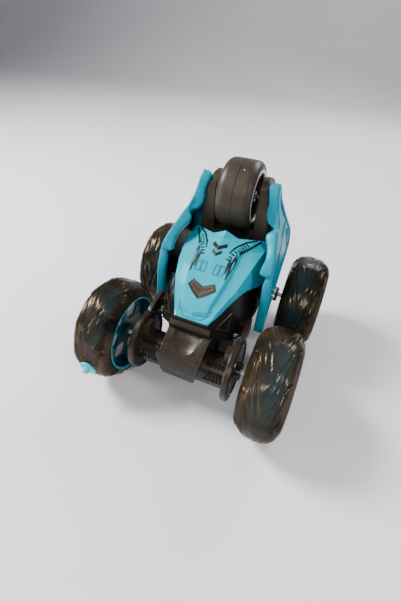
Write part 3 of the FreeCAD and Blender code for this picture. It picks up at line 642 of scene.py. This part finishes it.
def rim_fittings(corner):
    """Both lips of a rim and the pale disc seen through its windows."""
    side, out, y, _ = WHEELS[corner]
    body, hub = "wheel_" + corner, (side * out, y, AXLE_HEIGHT)
    for end in (-1, 1):
        lip = [(end * (LIP_PLACE + LIP_WIDE * math.cos(a)), LIP_RADIUS + LIP_TALL * math.sin(a))
               for a in full_turn(10)]
        word = "outer" if end == side else "inner"
        piece("rim_lip_%s_%s" % (corner, word), *turned(lip, hub, 128), "rim_blue", body=body)
    disc = [(side * x, r) for x, r in WINDOW_DISC]
    piece("window_disc_" + corner, *turned(disc, hub, 64), "pale_disc", "nylon", body)


def tyre_plug(corner):
    """The plug that a tyre is inflated through."""
    side, out, y, _ = WHEELS[corner]
    low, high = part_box("inflation_plug_" + corner)
    centre = (low + high) / 2 / MM
    across, angle = abs(centre.x) - out, math.degrees(math.atan2(centre.z - AXLE_HEIGHT, centre.y - y))
    across, angle = PLUG_PLACE.get(corner, (across, angle))
    turn = math.radians(angle)
    reach = TYRE_RADIUS - 0.4 - 0.012 * across ** 2
    seat = Vector((side * (out + across), y + reach * math.cos(turn), AXLE_HEIGHT + reach * math.sin(turn)))
    facing = Vector((side * across * 0.02, math.cos(turn), math.sin(turn))).normalized()
    piece("tyre_plug_" + corner, *round_solid(seat, facing, PLUG_PROFILE, 40), "plug_blue",
          body="wheel_" + corner, stands_for="inflation_plug_" + corner, angle=35.0)


# --- hood

# Right half of the hood, front to back: middle, plateau edge, foot of its step, crease towards the
# ear, flank ridge and lower edge.
HOOD_ROWS = [
    [(0, -56.8, 90.9), (11.6, -56.8, 90.7), (12.6, -56.8, 90.6),
     (13.6, -56.7, 90.5), (15.2, -56.6, 90.2), (15.6, -56.6, 89)],
    [(0, -53.4, 91.3), (12, -49.8, 91.9), (13.4, -49.4, 92.1),
     (15, -50, 92.5), (17.6, -51, 92.4), (18.2, -51, 90.7)],
    [(0, -52.4, 95.2), (11.6, -48.6, 97), (13.2, -48.2, 95),
     (15.6, -48.2, 95.2), (19.2, -47.8, 95.8), (19.8, -47.6, 91.3)],
    [(0, -46.2, 100.3), (12.8, -44, 101.6), (14.3, -43.8, 99.2),
     (17.6, -43.7, 98.9), (21.5, -43.5, 99.2), (21.9, -43.4, 92.8)],
    [(0, -39.6, 104), (14.8, -36.8, 106.9), (16.4, -36.6, 104.3),
     (20.6, -36, 103.8), (25, -35.2, 103.9), (25.9, -34.9, 97.2)],
    [(0, -26, 112.6), (17.2, -25.4, 113.9), (18.8, -25.2, 111.2),
     (23.8, -26, 109.8), (29, -26.4, 108.9), (30.8, -23.7, 100.7)],
    [(0, -10, 121.8), (18.6, -10.6, 121.1), (20.2, -10.6, 118.4),
     (26.2, -12, 116.6), (32.8, -11.8, 116.2), (35.6, -11.6, 101.7)],
    [(0, 3.6, 129), (19.2, 4.6, 127), (20.9, 4.6, 124.4),
     (27.8, 4.2, 121.8), (35.4, 2.6, 120.2), (41.8, 3.1, 97.4)],
    [(0, 13.4, 133.4), (16.6, 14.4, 129), (19.4, 14.8, 127.8),
     (28.6, 16.4, 123.8), (37.2, 15.6, 121.6), (45.6, 15.6, 97.5)],
    [(0, 21.4, 136.8), (12.4, 22.5, 130.6), (20.4, 26.4, 129.8),
     (30.6, 31.2, 127.6), (38.3, 25.6, 122), (46.4, 24, 97.8)],
    [(0, 21.9, 136.2), (12.5, 23, 130), (20.6, 27, 129.2),
     (35.6, 36.5, 126.6), (39, 33.4, 121.6), (46.6, 32.6, 98.4)],
]


def hood_skin():
    """Points and triangles of the hood's outside, cut alike on both sides."""
    rows = [[(-x, y, z) for x, y, z in reversed(row) if x > 0] + row for row in HOOD_ROWS]
    count = len(rows[0])
    faces = []
    for i in range(len(rows) - 1):
        for j in range(count - 1):
            a, b = i * count + j, i * count + j + 1
            c, d = b + count, a + count
            faces += [(a, b, c), (a, c, d)] if j >= count // 2 else [(a, b, d), (b, c, d)]
    return [p for row in rows for p in row], faces


def hood():
    shell = piece("hood_shell", *hood_skin(), "hood_blue", stands_for="hood")
    skinned(shell, 1.8)
    rounded(shell, 0.35, angle=10.0)


def hood_height():
    """A function giving the height of the hood's outside at a place seen from above, or 0 beside it."""
    points, faces = hood_skin()
    tree = BVHTree.FromPolygons([Vector(p) for p in points], faces)
    above = 300.0

    def height(x, y):
        hit = tree.ray_cast(Vector((x, y, above)), Vector((0, 0, -1)))[0]
        return hit.z if hit else 0.0
    return height


def laid(shapes, height, lift, sink=0.6, cell=2.5):
    """Thin plates with the given outlines (x, y) laid over a surface, following it cell by cell."""
    def at(rise):
        return lambda p: (p.x, p.y, height(p.x, p.y) + rise)
    plates = []
    for shape in shapes:
        cuts = []
        for axis in (0, 1):
            low, high = min(p[axis] for p in shape), max(p[axis] for p in shape)
            cuts += [(axis, place) for place in np.arange(math.ceil(low / cell) * cell, high, cell)]
        plates.append(plate([(x, y, 0.0) for x, y in shape], cuts, at(lift), at(-sink)))
    return merged(*plates)


def stroke(path, widths):
    """Outline pieces of a line drawn along path (x, y) with a width at each point."""
    path = [Vector(p) for p in path]
    sides = []
    for i, p in enumerate(path):
        along = (path[min(i + 1, len(path) - 1)] - path[max(i - 1, 0)]).normalized()
        across = Vector((-along.y, along.x)) * widths[i] / 2
        sides.append(((p + across)[:], (p - across)[:]))
    return [[a, b, d, c] for (a, b), (c, d) in zip(sides, sides[1:])]


def both_sides(shapes):
    return shapes + [[(-x, y) for x, y in reversed(shape)] for shape in shapes]


PRINT_LIFT, SHIELD_LIFT, MIDDLE_LIFT, GROOVE_SHADE_LIFT = 0.34, 1.1, 0.45, 0.4


def hood_print(height):
    """Printed lines, a row of hash marks and two chevrons."""
    lines = stroke([(32.4, 32.2), (26.0, 19.0), (19.2, 5.0)], (1.3, 1.6, 2.0))
    lines += stroke([(19.0, 3.6), (17.8, -8.0), (16.6, -23.0)], (2.2, 4.4, 0.7))
    lines += stroke([(14.6, -2.0), (14.4, -10.0), (14.6, -18.0)], (0.7, 2.2, 0.6))
    lines += stroke([(28.6, 30.6), (20.8, 22.0), (14.2, 9.8), (11.4, 1.5)], (1.2, 1.5, 1.5, 1.1))
    hashes = 9
    for i in range(hashes):
        share = i / (hashes - 1)
        x, y = 22.6 - 10.4 * share, 19.4 - 24.0 * share
        lines += stroke([(x - 1.5, y + 0.5), (x + 1.5, y - 0.5)], (1.3, 1.3))
    marks = both_sides(lines)
    for tip, spread, rise, thick in ((4.4, 7.0, 5.6, 4.0), (-2.2, 4.6, 3.8, 2.8)):
        marks += both_sides([[(0.0, tip), (0.0, tip - thick), (spread, tip + rise - thick),
                              (spread - 0.7, tip + rise)]])
    piece("hood_print", *laid(marks, height, PRINT_LIFT), "print_black", "casing_black", angle=50.0)


def hood_vents_and_step_shade(height):
    """Outlined vents in front of the windscreen, and a darker line along the hood's front edge that is
    painted shade below its step.
    """
    vents, widths, front, step, back = [], (0.7, 0.7), -20.4, -12.4, -11.2
    for inner, outer in ((4.6, 8.6), (9.6, 13.6)):
        path = [(outer, back), (outer - 0.8, front), (inner - 0.8, front), (inner, back)]
        for a, b in zip(path, path[1:]):
            vents += stroke([a, b], widths)
        vents += stroke([(inner, step), (outer, step)], widths)
    # Painted shade: a darker line along the step at the hood's front.
    vents += stroke([(0.0, -55.7), (8.4, -54.8), (15.4, -46.0)], (0.9, 0.9, 0.8))
    piece("hood_vents_and_step_shade", *laid(both_sides(vents), height, PRINT_LIFT), "line_blue", "hood_blue", angle=50.0)


def hood_shield(height):
    """The raised shield near the hood's front: a border, its sunk middle and a black plate around it that is
    painted shade in the groove there.
    """
    outline = [(0, -33.2), (4.6, -31.8), (9.4, -30.2), (11.4, -33.6), (6, -37), (0, -40.4)]
    inner = [(0, -34.8), (4.4, -33.4), (8.3, -32.3), (9, -33.4), (5.2, -35.8), (0, -38.6)]
    wide = [(0, -31.9), (4.8, -30.3), (10, -28.2), (13.3, -33.6), (6.8, -38.6), (0, -42.4)]
    half = range(len(outline) - 1)
    border = both_sides([[outline[i], outline[i + 1], inner[i + 1], inner[i]] for i in half])
    groove = both_sides([[wide[i], wide[i + 1], outline[i + 1], outline[i]] for i in half])
    piece("shield_middle", *laid(both_sides([inner]), height, MIDDLE_LIFT), "arm_brown", "bronze_trim",
          angle=30.0)
    shield = piece("hood_shield", *laid(border, height, SHIELD_LIFT), "bronze_trim",
                   stands_for="hood_emblem", angle=30.0)
    rounded(shield, 0.22, angle=30.0)
    # Painted shade: a black plate where the groove round the shield lies.
    piece("shield_groove_shade", *laid(groove, height, GROOVE_SHADE_LIFT), "print_black", "casing_black", angle=50.0)


# --- side plates and arms

LEAN = [(56.9, 62), (56.2, 100), (54, 120), (51.8, 131), (46, 145), (41.4, 157), (38.8, 168),
        (37.2, 177.6)]
PLATE_FRONT = [(-18, 61.5), (-13, 100), (-7.5, 118.2), (-4.8, 126), (9, 135), (27.6, 146.6), (33.6, 147.6),
               (37.4, 151.9), (39.4, 158), (42, 168), (46, 176), (51, 177.6)]
PLATE_REAR = [(55.6, 172), (56, 163), (62, 147), (70, 128), (68.5, 114), (56, 107), (30, 96), (12, 81),
              (0, 70), (-8, 61.5)]
# Outline of the near-black sheet painted as shade on a side plate's inner face.
PLATE_SHADE_SHEET = [(-10, 74), (-7, 100), (-2, 120), (3, 125), (12, 130), (30, 133), (50, 129), (58, 123),
                (59, 117), (50, 108), (26, 99), (12, 87), (0, 76)]
SPINE = [(-8, 84), (-5.4, 100), (0.2, 116), (3.6, 122.6), (16, 131.6), (28, 142.6), (34, 150.8),
         (42, 160.4), (49, 168.4)]
LOW_RIB = [(0, 84), (4, 100), (11, 114), (24, 124), (44, 136), (58, 140)]
SLOT_RIM = [(54, 116), (56, 131), (60.5, 133), (62, 118)]
SLOT_FLOOR = [(55, 117.2), (56.8, 130.2), (59.8, 131.4), (61, 119)]
# Front edge band from the foot up: place of its front edge (y, z), how deep it reaches in, how wide it is.
BAND_ROWS = [
    (-17.6, 61.4, 8.6, 8.4), (-15, 82, 8.2, 7.6), (-13, 100, 8, 7.6), (-10.6, 112, 7.6, 7.2),
    (-8.2, 116.8, 6.2, 6.2), (-7.2, 118.6, 6, 6.2), (-8.4, 120.2, 10.8, 8.6), (-7.4, 123.4, 11.6, 9.2),
    (-4.2, 127, 10.4, 8.8), (2.2, 130.6, 9, 8), (9, 135, 8.6, 7.8), (15, 138.8, 9.2, 8),
    (20.6, 143, 11, 9), (24.4, 145.5, 10.6, 8.8), (27.6, 146, 6, 6), (32.6, 146.8, 5, 5.6),
    (35, 149, 10.4, 8.6), (37.4, 153.4, 11.8, 9.4), (39.2, 158.6, 11, 8.8), (40.6, 163.2, 9.2, 8),
    (41.8, 168, 9, 7.8), (43.6, 172.2, 9.6, 8.2), (46, 175.4, 10.2, 8.6), (48.4, 176.9, 10.2, 8.6),
    (52, 176.8, 9.4, 7.6), (54.6, 173.8, 7.6, 6.2)]


def lean(side, y, z, depth):
    """Point of a side plate at (y, z), depth millimetres in from its outer face."""
    across, up = zip(*LEAN)
    reach = 4.0
    slope = (np.interp(z + reach, up, across) - np.interp(z - reach, up, across)) / (2 * reach)
    size = math.hypot(1.0, slope)
    return side * (float(np.interp(z, up, across)) - depth / size), y, z + slope * depth / size


def leaning_plate(side, outline, near, far):
    """A closed plate with the given outline that follows the lean of the side plate."""
    def at(depth):
        return lambda p: lean(side, p.y, p.z, depth)
    cuts = [(2, z) for z in np.arange(70.0, 178.0, 6.0)]
    return plate([(0.0, y, z) for y, z in outline], cuts, at(near), at(far))


def leaning_band(side, line, width, near, far, closed=False):
    """A bar of the given width laid behind a line in the side plate."""
    line = [Vector(p) for p in line]
    count, loops = len(line), []
    for i, a in enumerate(line):
        before = line[(i - 1) % count] if closed else line[max(i - 1, 0)]
        after = line[(i + 1) % count] if closed else line[min(i + 1, count - 1)]
        along = (after - before).normalized()
        b = a + Vector((along.y, -along.x)) * width
        loops.append([lean(side, *a, near), lean(side, *a, far), lean(side, *b, far), lean(side, *b, near)])
    if closed:
        loops.append(loops[0])
    return loft(loops, not closed)


def waved_band(side, rows, steps=120, fillet=2.0):
    """The thick front edge of a side plate: a rounded bar whose inner side swells and shrinks."""
    rows = np.array(rows)
    run = np.concatenate([[0.0], np.cumsum(np.hypot(*np.diff(rows[:, :2], axis=0).T))])
    even = np.linspace(0.0, run[-1], steps)
    table = np.array([np.interp(even, run, column) for column in rows.T]).T
    table[1:-1] = (table[:-2] + 2 * table[1:-1] + table[2:]) / 4
    loops = []
    for i, (y, z, deep, wide) in enumerate(table):
        along = Vector(table[min(i + 1, steps - 1)][:2] - table[max(i - 1, 0)][:2]).normalized()
        centres = [(fillet, fillet), (wide - fillet, fillet), (wide - fillet, deep - fillet),
                   (fillet, deep - fillet)]
        loop = []
        for corner, (b, d) in enumerate(centres):
            for turn in np.linspace(0.0, math.pi / 2, 5):
                t = math.pi + corner * math.pi / 2 + turn
                back, inward = b + fillet * math.cos(t), d + fillet * math.sin(t)
                loop.append(lean(side, y + along.y * back, z - along.x * back, inward))
        loops.append(loop)
    return loft(loops)


def inset(outline, by):
    """The outline (y, z) drawn in by a distance; it runs with its inside on the right."""
    line = [Vector(p) for p in outline]
    made = []
    for i, p in enumerate(line):
        u = (p - line[i - 1]).normalized()
        v = (line[(i + 1) % len(line)] - p).normalized()
        m = (Vector((u.y, -u.x)) + Vector((v.y, -v.x))).normalized()
        made.append((p + m * by / max(m.dot(Vector((u.y, -u.x))), 0.5))[:])
    return made


def side_plate(word, side):
    """A side plate: its skin with rims and ribs, the band along its front, a darker slot floor that is
    painted shade in the slot, and a near-black sheet on its inner face that is painted shade.
    """
    outline = PLATE_FRONT + PLATE_REAR
    core = leaning_plate(side, inset(outline, 1.2), 1.5, 5.0)
    rear_rim = leaning_band(side, [PLATE_FRONT[-1]] + PLATE_REAR + [PLATE_FRONT[0]], 2.6, 0.4, 5.8)
    spine = leaning_band(side, SPINE, 1.8, 0.7, 2.4)
    low_rib = leaning_band(side, LOW_RIB, 1.5, 0.8, 2.4)
    slot_rim = leaning_band(side, SLOT_RIM, 1.2, 0.7, 2.6, closed=True)
    # The slot floor is darker blue: painted shade in the slot.
    piece("plate_slot_" + word, *leaning_plate(side, SLOT_FLOOR, 1.2, 2.2), "line_blue", "panel_blue")
    skin = piece("side_plate_" + word, *merged(core, rear_rim, spine, low_rib, slot_rim), "panel_blue",
                 stands_for="side_panel_" + word)
    rounded(skin, 0.45, angle=35.0)
    piece("plate_band_" + word, *waved_band(side, BAND_ROWS), "panel_blue", angle=40.0)
    # Painted shade: a near-black sheet over the lower inner face of the plate.
    piece("plate_shade_sheet_" + word, *leaning_plate(side, PLATE_SHADE_SHEET, 4.6, 5.5), "lining_black",
          "casing_black")
    plate_web(word, side)


def plate_web(word, side):
    """The wall that closes the gap between an arm and its side plate."""
    heights, outers = [row[0] for row in ARM_SECTIONS], [row[1] for row in ARM_SECTIONS]
    middle, front, back = 58.0, 57.0, 59.2
    web = []
    for z in np.linspace(104.0, 166.0, 12):
        arm, near = side * (float(np.interp(z, heights, outers)) - 1.0), lean(side, middle, z, 4.4)[0]
        web.append([(arm, front, z), (near, front, z), (near, back, z), (arm, back, z)])
    rounded(piece("plate_web_" + word, *loft(web), "panel_blue"), 0.5)


ARM_INNER = 20.1
ARM_SECTIONS = [  # height, outer face, front, back
    (78.4, 31, 43, 70.5), (100, 32.6, 42.4, 71), (121, 34.4, 42, 71.4), (138, 34, 42.4, 71.5),
    (150, 32.6, 43.2, 71.6), (164, 30.2, 44.4, 71.4), (170, 28.8, 46, 70), (174, 27.8, 48.4, 67.6),
    (176.4, 27, 51.6, 64.4), (177, 26.6, 54.4, 61.6)]
RIDGE_SECTIONS = ARM_SECTIONS[:7]
ARM_BOSS = [(19.6, 6.6), (21.0, 6.6), (21.0, 3.4), (19.6, 3.4)]


def wheel_arm(word, side):
    """An arm of the fifth wheel: its blade, a ridge along its front and the boss round the pin."""
    inner = side * ARM_INNER
    blade = loft([[(inner, front, z), (side * outer, front, z), (side * outer, back, z), (inner, back, z)]
                  for z, outer, front, back in ARM_SECTIONS])
    ridge = loft([[(side * (ARM_INNER + 1.2), front - 0.8, z), (side * (outer - 1.2), front - 0.8, z),
                   (side * (outer - 1.8), front + 3.0, z), (side * (ARM_INNER + 1.8), front + 3.0, z)]
                  for z, outer, front, _ in RIDGE_SECTIONS])
    low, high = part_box("fifth_pin")
    axis = (0.0, (low.y + high.y) / 2 / MM, (low.z + high.z) / 2 / MM)
    boss = turned([(side * x, r) for x, r in ARM_BOSS], axis, 40)
    arm = piece("wheel_arm_" + word, *merged(blade, ridge, boss), "arm_brown", stands_for="arm_" + word)
    rounded(arm, 0.7, 3, 30.0)


# --- axle units and casing

HOUSING_Y, HOUSING_Z, HOUSING_RADIUS = 62.5, 45.6, 15.7


def on_housing(side, y_sign, low_edge, high_edge, angles, depths, steps=6):
    """A curved block on a housing between two angles above level, from its low edge to its high one."""
    loops = []
    for share in np.linspace(0.0, 1.0, steps):
        turn = math.radians(angles[0] + (angles[1] - angles[0]) * share)
        near = low_edge[0] + (high_edge[0] - low_edge[0]) * share
        far = low_edge[1] + (high_edge[1] - low_edge[1]) * share
        loops.append([(side * x, y_sign * (HOUSING_Y + r * math.cos(turn)), HOUSING_Z + r * math.sin(turn))
                      for x, r in ((near, depths[0]), (far, depths[0]), (far, depths[1]), (near, depths[1]))])
    return loft(loops)


RIBS, RIB_GAP = 5, (0.16, 0.84)
WINDOW_FOOT, WINDOW_HEAD = (22.6, 18.2), (26.6, 12.0)  # start and length along x of the ribbed window
NOTCHES, NOTCH_WIDTH = np.arange(23.2, 41.5, 3.5), 1.4
TEETH, TOOTH_WIDTH = np.arange(27.0, 41.0, 2.8), 1.5
LINE_FOOT, LINE_HEAD = (21.4, 42.4), (22.4, 42.4)
WINDOW_ANGLES, LINE_ANGLES, NOTCH_ANGLES = (5.0, 37.0), (58.0, 64.0), (52.5, 70.0)
FIELD_ANGLES, TOOTH_ANGLES = (2.5, 39.5), (98.0, 110.0)
DEEP_FLOOR, SHALLOW_FLOOR, ABOVE = HOUSING_RADIUS - 1.3, HOUSING_RADIUS - 0.5, HOUSING_RADIUS + 2.0


def housing_slots(y_sign, floor, top):
    """The gaps between the ribs of the window and the notches of the line above it."""
    made = []
    for side in (LEFT, RIGHT):
        for i in range(RIBS):
            foot, head = ([start + length * (i + k) / RIBS for k in RIB_GAP]
                          for start, length in (WINDOW_FOOT, WINDOW_HEAD))
            made.append(on_housing(side, y_sign, foot, head, WINDOW_ANGLES, (floor, top)))
        for x in NOTCHES:
            span = (x, x + NOTCH_WIDTH)
            made.append(on_housing(side, y_sign, span, span, NOTCH_ANGLES, (floor, top)))
    return made


def housing_shallows(y_sign, floor, top):
    """The sunk field of the window and the line above it."""
    made = []
    for side in (LEFT, RIGHT):
        made.append(on_housing(side, y_sign, (21.6, 41.8), (25.6, 39.6), FIELD_ANGLES, (floor, top)))
        made.append(on_housing(side, y_sign, LINE_FOOT, LINE_HEAD, LINE_ANGLES, (floor - 0.5, top)))
    return made


def housing_teeth(y_sign):
    return [on_housing(side, y_sign, (x, x + TOOTH_WIDTH), (x, x + TOOTH_WIDTH), TOOTH_ANGLES,
                       (HOUSING_RADIUS - 0.5, 16.6), 3) for side in (LEFT, RIGHT) for x in TEETH]


def nose_recess():
    """A tongue-shaped recess in the top of the nose with sloping sides."""
    rim = [(15.4, -56.6), (13.2, -62), (9.5, -71), (7.6, -73.4), (4.6, -74.6)]
    bed = [(11.6, -56.6), (10, -62), (6.9, -69.6), (5, -71.4), (2.8, -72)]

    def loop(half, rise):
        """The outline with its mirror half, at a rise above the top of the nose."""
        whole = half + [(-x, y) for x, y in reversed(half)]
        return [(x, y, float(np.interp(-y, (56.0, 70.0, 79.5), (76.6, 69.6, 60.5))) + rise) for x, y in whole]
    return loft([loop(bed, -1.9), loop(rim, 0.02), loop(rim, 3.0)])


NOSE_EDGE = [(23, 80), (20.9, 74), (20, 64), (18.6, 54), (16.4, 44), (14.2, 37), (11.4, 31.6), (7.6, 28.2),
             (3, 26.9), (3, 20), (26, 20), (26, 80)]
INNER_RING = [(41.8, 26), (43.2, 25.4), (43.2, 28.7), (41.8, 28)]
OUTER_RING = [(46.8, 24.6), (48, 25.2), (48, 27.4), (46.8, 28.4)]


def nose_shaves():
    """What is cut off each side of the nose so that it narrows in a curve to its chin."""
    made = []
    for side in (LEFT, RIGHT):
        shave = solid(*loft([[(side * x, y, z) for x, z in NOSE_EDGE] for y in (-90.0, -60.0)]))
        made.append(cut(shave, [solid(*capped_tube())]))
    return made


def capped_tube():
    """The round body of the front housing as a closed solid."""
    radius = HOUSING_RADIUS + 0.15
    return loft([[(x, -HOUSING_Y + radius * math.cos(a), HOUSING_Z + radius * math.sin(a))
                  for a in full_turn(96)] for x in (-45.0, 45.0)])


def axle_unit(end, y_sign, axle_y):
    """The two halves of an axle unit, near-black plates on the floors of its slots that are painted shade,
    and its flange rings.
    """
    front = end == "front"
    shallow = housing_shallows(y_sign, SHALLOW_FLOOR, ABOVE) + ([nose_recess()] if front else [])
    deep = housing_slots(y_sign, DEEP_FLOOR, ABOVE)
    from_cad(end + "_axle_cover", end + "_unit_top", "bronze_black", 0.5,
             cutters=[solid(*merged(*shallow)), solid(*merged(*deep))] + (nose_shaves() if front else []),
             added=[solid(*merged(*housing_teeth(y_sign)))])
    # Painted shade: near-black plates on the floors of the slots and of the line above them.
    floor_shade_plates = housing_slots(y_sign, DEEP_FLOOR - 0.3, DEEP_FLOOR + 0.25)
    floor_shade_plates += [on_housing(side, y_sign, LINE_FOOT, LINE_HEAD, LINE_ANGLES,
                          (SHALLOW_FLOOR - 0.8, SHALLOW_FLOOR - 0.3)) for side in (LEFT, RIGHT)]
    piece(end + "_slot_floors", *merged(*floor_shade_plates), "lining_black", "casing_black")
    from_cad(end + "_axle_tray", end + "_unit_bottom", "bronze_black", 0.8,
             cutters=nose_shaves() if front else ())
    for word, side in SIDES:
        rings = [turned([(side * x, r) for x, r in ring], (0.0, axle_y, AXLE_HEIGHT))
                 for ring in (INNER_RING, OUTER_RING)]
        rounded(piece("%s_flange_rings_%s" % (end, word), *merged(*rings), "bronze_black"), 0.3)


CASING_FRAME = [(22.4, -51.6, 84.2), (31.2, -39.6, 95.6), (31.4, -46.4, 80.6)]
ARM_BRACE = ((-20.8, 20.8), (66.8, 70.4), (112.0, 127.2))
NOSE_GAP_SHADE = ((-20.0, 20.0), (-58.8, -55.0), (76.2, 79.7))


def casing():
    """The casing under the hood with its fillers, one of them a near-black block painted as shade in the gap
    at the nose, triangle frames and screws.
    """
    rounded(piece("arm_brace", *block(*ARM_BRACE), "casing_black"), 0.8)
    from_cad("body_casing", "casing_shell", "casing_black", 0.6, angle=12.0)
    from_cad("rear_cover", "ribbed_cover", "casing_black", 0.5)
    from_cad("lip_strip", "hood_lip", "bronze_black", 0.6)
    # Painted shade: a near-black block in the gap above the nose.
    piece("nose_gap_shade", *block(*NOSE_GAP_SHADE), "lining_black", "casing_black")
    for word, side in SIDES:
        corners = [Vector((side * x, y, z)) for x, y, z in CASING_FRAME]
        bars = [bar(a, b, 0.55) for a, b in zip(corners, corners[1:] + corners[:1])]
        piece("casing_frame_" + word, *merged(*bars), "bronze_black", angle=60.0)
        casing_screw(word, side)


def casing_screw(word, side):
    """A bright cross-head screw in a black boss on the flank of the casing."""
    place, facing = Vector((side * 37.6, -40.4, 72.2)), Vector((side * 0.72, -0.45, 0.53)).normalized()
    turn = Vector((1.0, 0.0, 0.0)).rotation_difference(facing)
    boss = round_solid(place, facing, [(-4.5, 3.6), (-0.4, 3.2), (0.0, 2.9)], 28)
    piece("casing_boss_" + word, *boss, "casing_black")
    head = solid(*round_solid(place, facing, [(-0.6, 2.3), (0.7, 2.3), (1.2, 1.9), (1.45, 1.1)], 28))
    cross = []
    for wide, tall in ((0.28, 1.5), (1.5, 0.28)):
        points, faces = block((0.75, 2.5), (-wide, wide), (-tall, tall))
        cross.append(solid([place + turn @ Vector(p) for p in points], faces))
    cut(head, cross)
    head.name = "casing_screw_" + word
    head.data.materials.clear()
    head.data.materials.append(PAINT["steel"])
    settle(head)


# --- fifth wheel

def fifth_wheel():
    """The slick fifth tyre, rounded at its shoulders, with a fine groove round its middle."""
    low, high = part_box("fifth_tyre")
    centre = tuple((low + high) / 2 / MM)
    half, radius = (high.x - low.x) / 2 / MM, (high.z - low.z) / 2 / MM
    ring_low, ring_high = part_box("fifth_trim_rings")
    inner = (ring_high.z - ring_low.z) / 2 / MM
    fillet, drop, groove = 7.6, 7.6 * 0.8, 0.4
    right = [(half - fillet + fillet * math.cos(a), radius - drop + drop * math.sin(a))
             for a in np.linspace(0.0, math.pi / 2, 9)]
    crown = [(half * 0.5, radius), (0.30, radius), (0.16, radius - groove), (-0.16, radius - groove),
             (-0.30, radius), (-half * 0.5, radius)]
    left = [(-x, r) for x, r in reversed(right)]
    profile = [(half - 0.4, inner)] + right + crown + left + [(-half + 0.4, inner)]
    piece("slick_tyre", *turned(profile, centre, 144), "slick_rubber", body="fifth_wheel",
          stands_for="fifth_tyre", angle=40.0)
    tyre_dot(Vector(centre), radius)


def tyre_dot(centre, radius):
    """The small white dot beside the fifth tyre's groove."""
    turn, dot_x, dot_radius = math.radians(118.0), 4.4, 0.55
    up = Vector((0.0, math.cos(turn), math.sin(turn)))
    ahead = Vector((0.0, -math.sin(turn), math.cos(turn)))
    seat = centre + Vector((dot_x, 0.0, 0.0))
    loops = [[tuple(seat + up * h + (ahead * math.sin(a) + Vector((math.cos(a), 0.0, 0.0))) * dot_radius)
              for a in full_turn(16)] for h in (radius - 0.8, radius + 0.05)]
    piece("tyre_dot", *loft(loops), "pale_disc", "chrome_ring", "fifth_wheel")


# --- assembly

FINISH = {  # finish: CAD nodes; a name that ends in _ stands for one node at each wheel
    "casing_black": ["panel_brackets", "battery_tub", "battery_door", "switch_body"],
    "slick_rubber": ["fifth_rim", "fifth_barrel"],
    "chrome_ring": ["fifth_trim_rings"],
    "steel": ["panel_screws", "belly_screws", "flange_screws", "fifth_pin"],
    "nylon": ["switch_knob", "wheel_shaft_", "drive_gear_", "motor_pinion_"],
    "battery_wrap": ["battery_pack"],
    "board_green": ["receiver_board"],
    # The rims take their blue darkened as painted shade.
    "rim_painted_shade": ["rim_"],
    "plug_blue": ["inflation_plug_"],
    "bronze_black": ["hub_cap_"],
    "motor_can": ["motor_"],
}

make_camera()
make_lights()
make_floor()
for paint, names in FINISH.items():
    for name in names:
        for node in [name + corner for corner in WHEELS] if name.endswith("_") else [name]:
            dress(node, paint)
for corner in WHEELS:
    tyre(corner)
    rim_fittings(corner)
    tyre_plug(corner)
hood()
height = hood_height()
hood_print(height)
hood_vents_and_step_shade(height)
hood_shield(height)
fifth_wheel()
for word, side in SIDES:
    side_plate(word, side)
    wheel_arm(word, side)
axle_unit("front", -1, FRONT_Y)
axle_unit("rear", 1, REAR_Y)
casing()
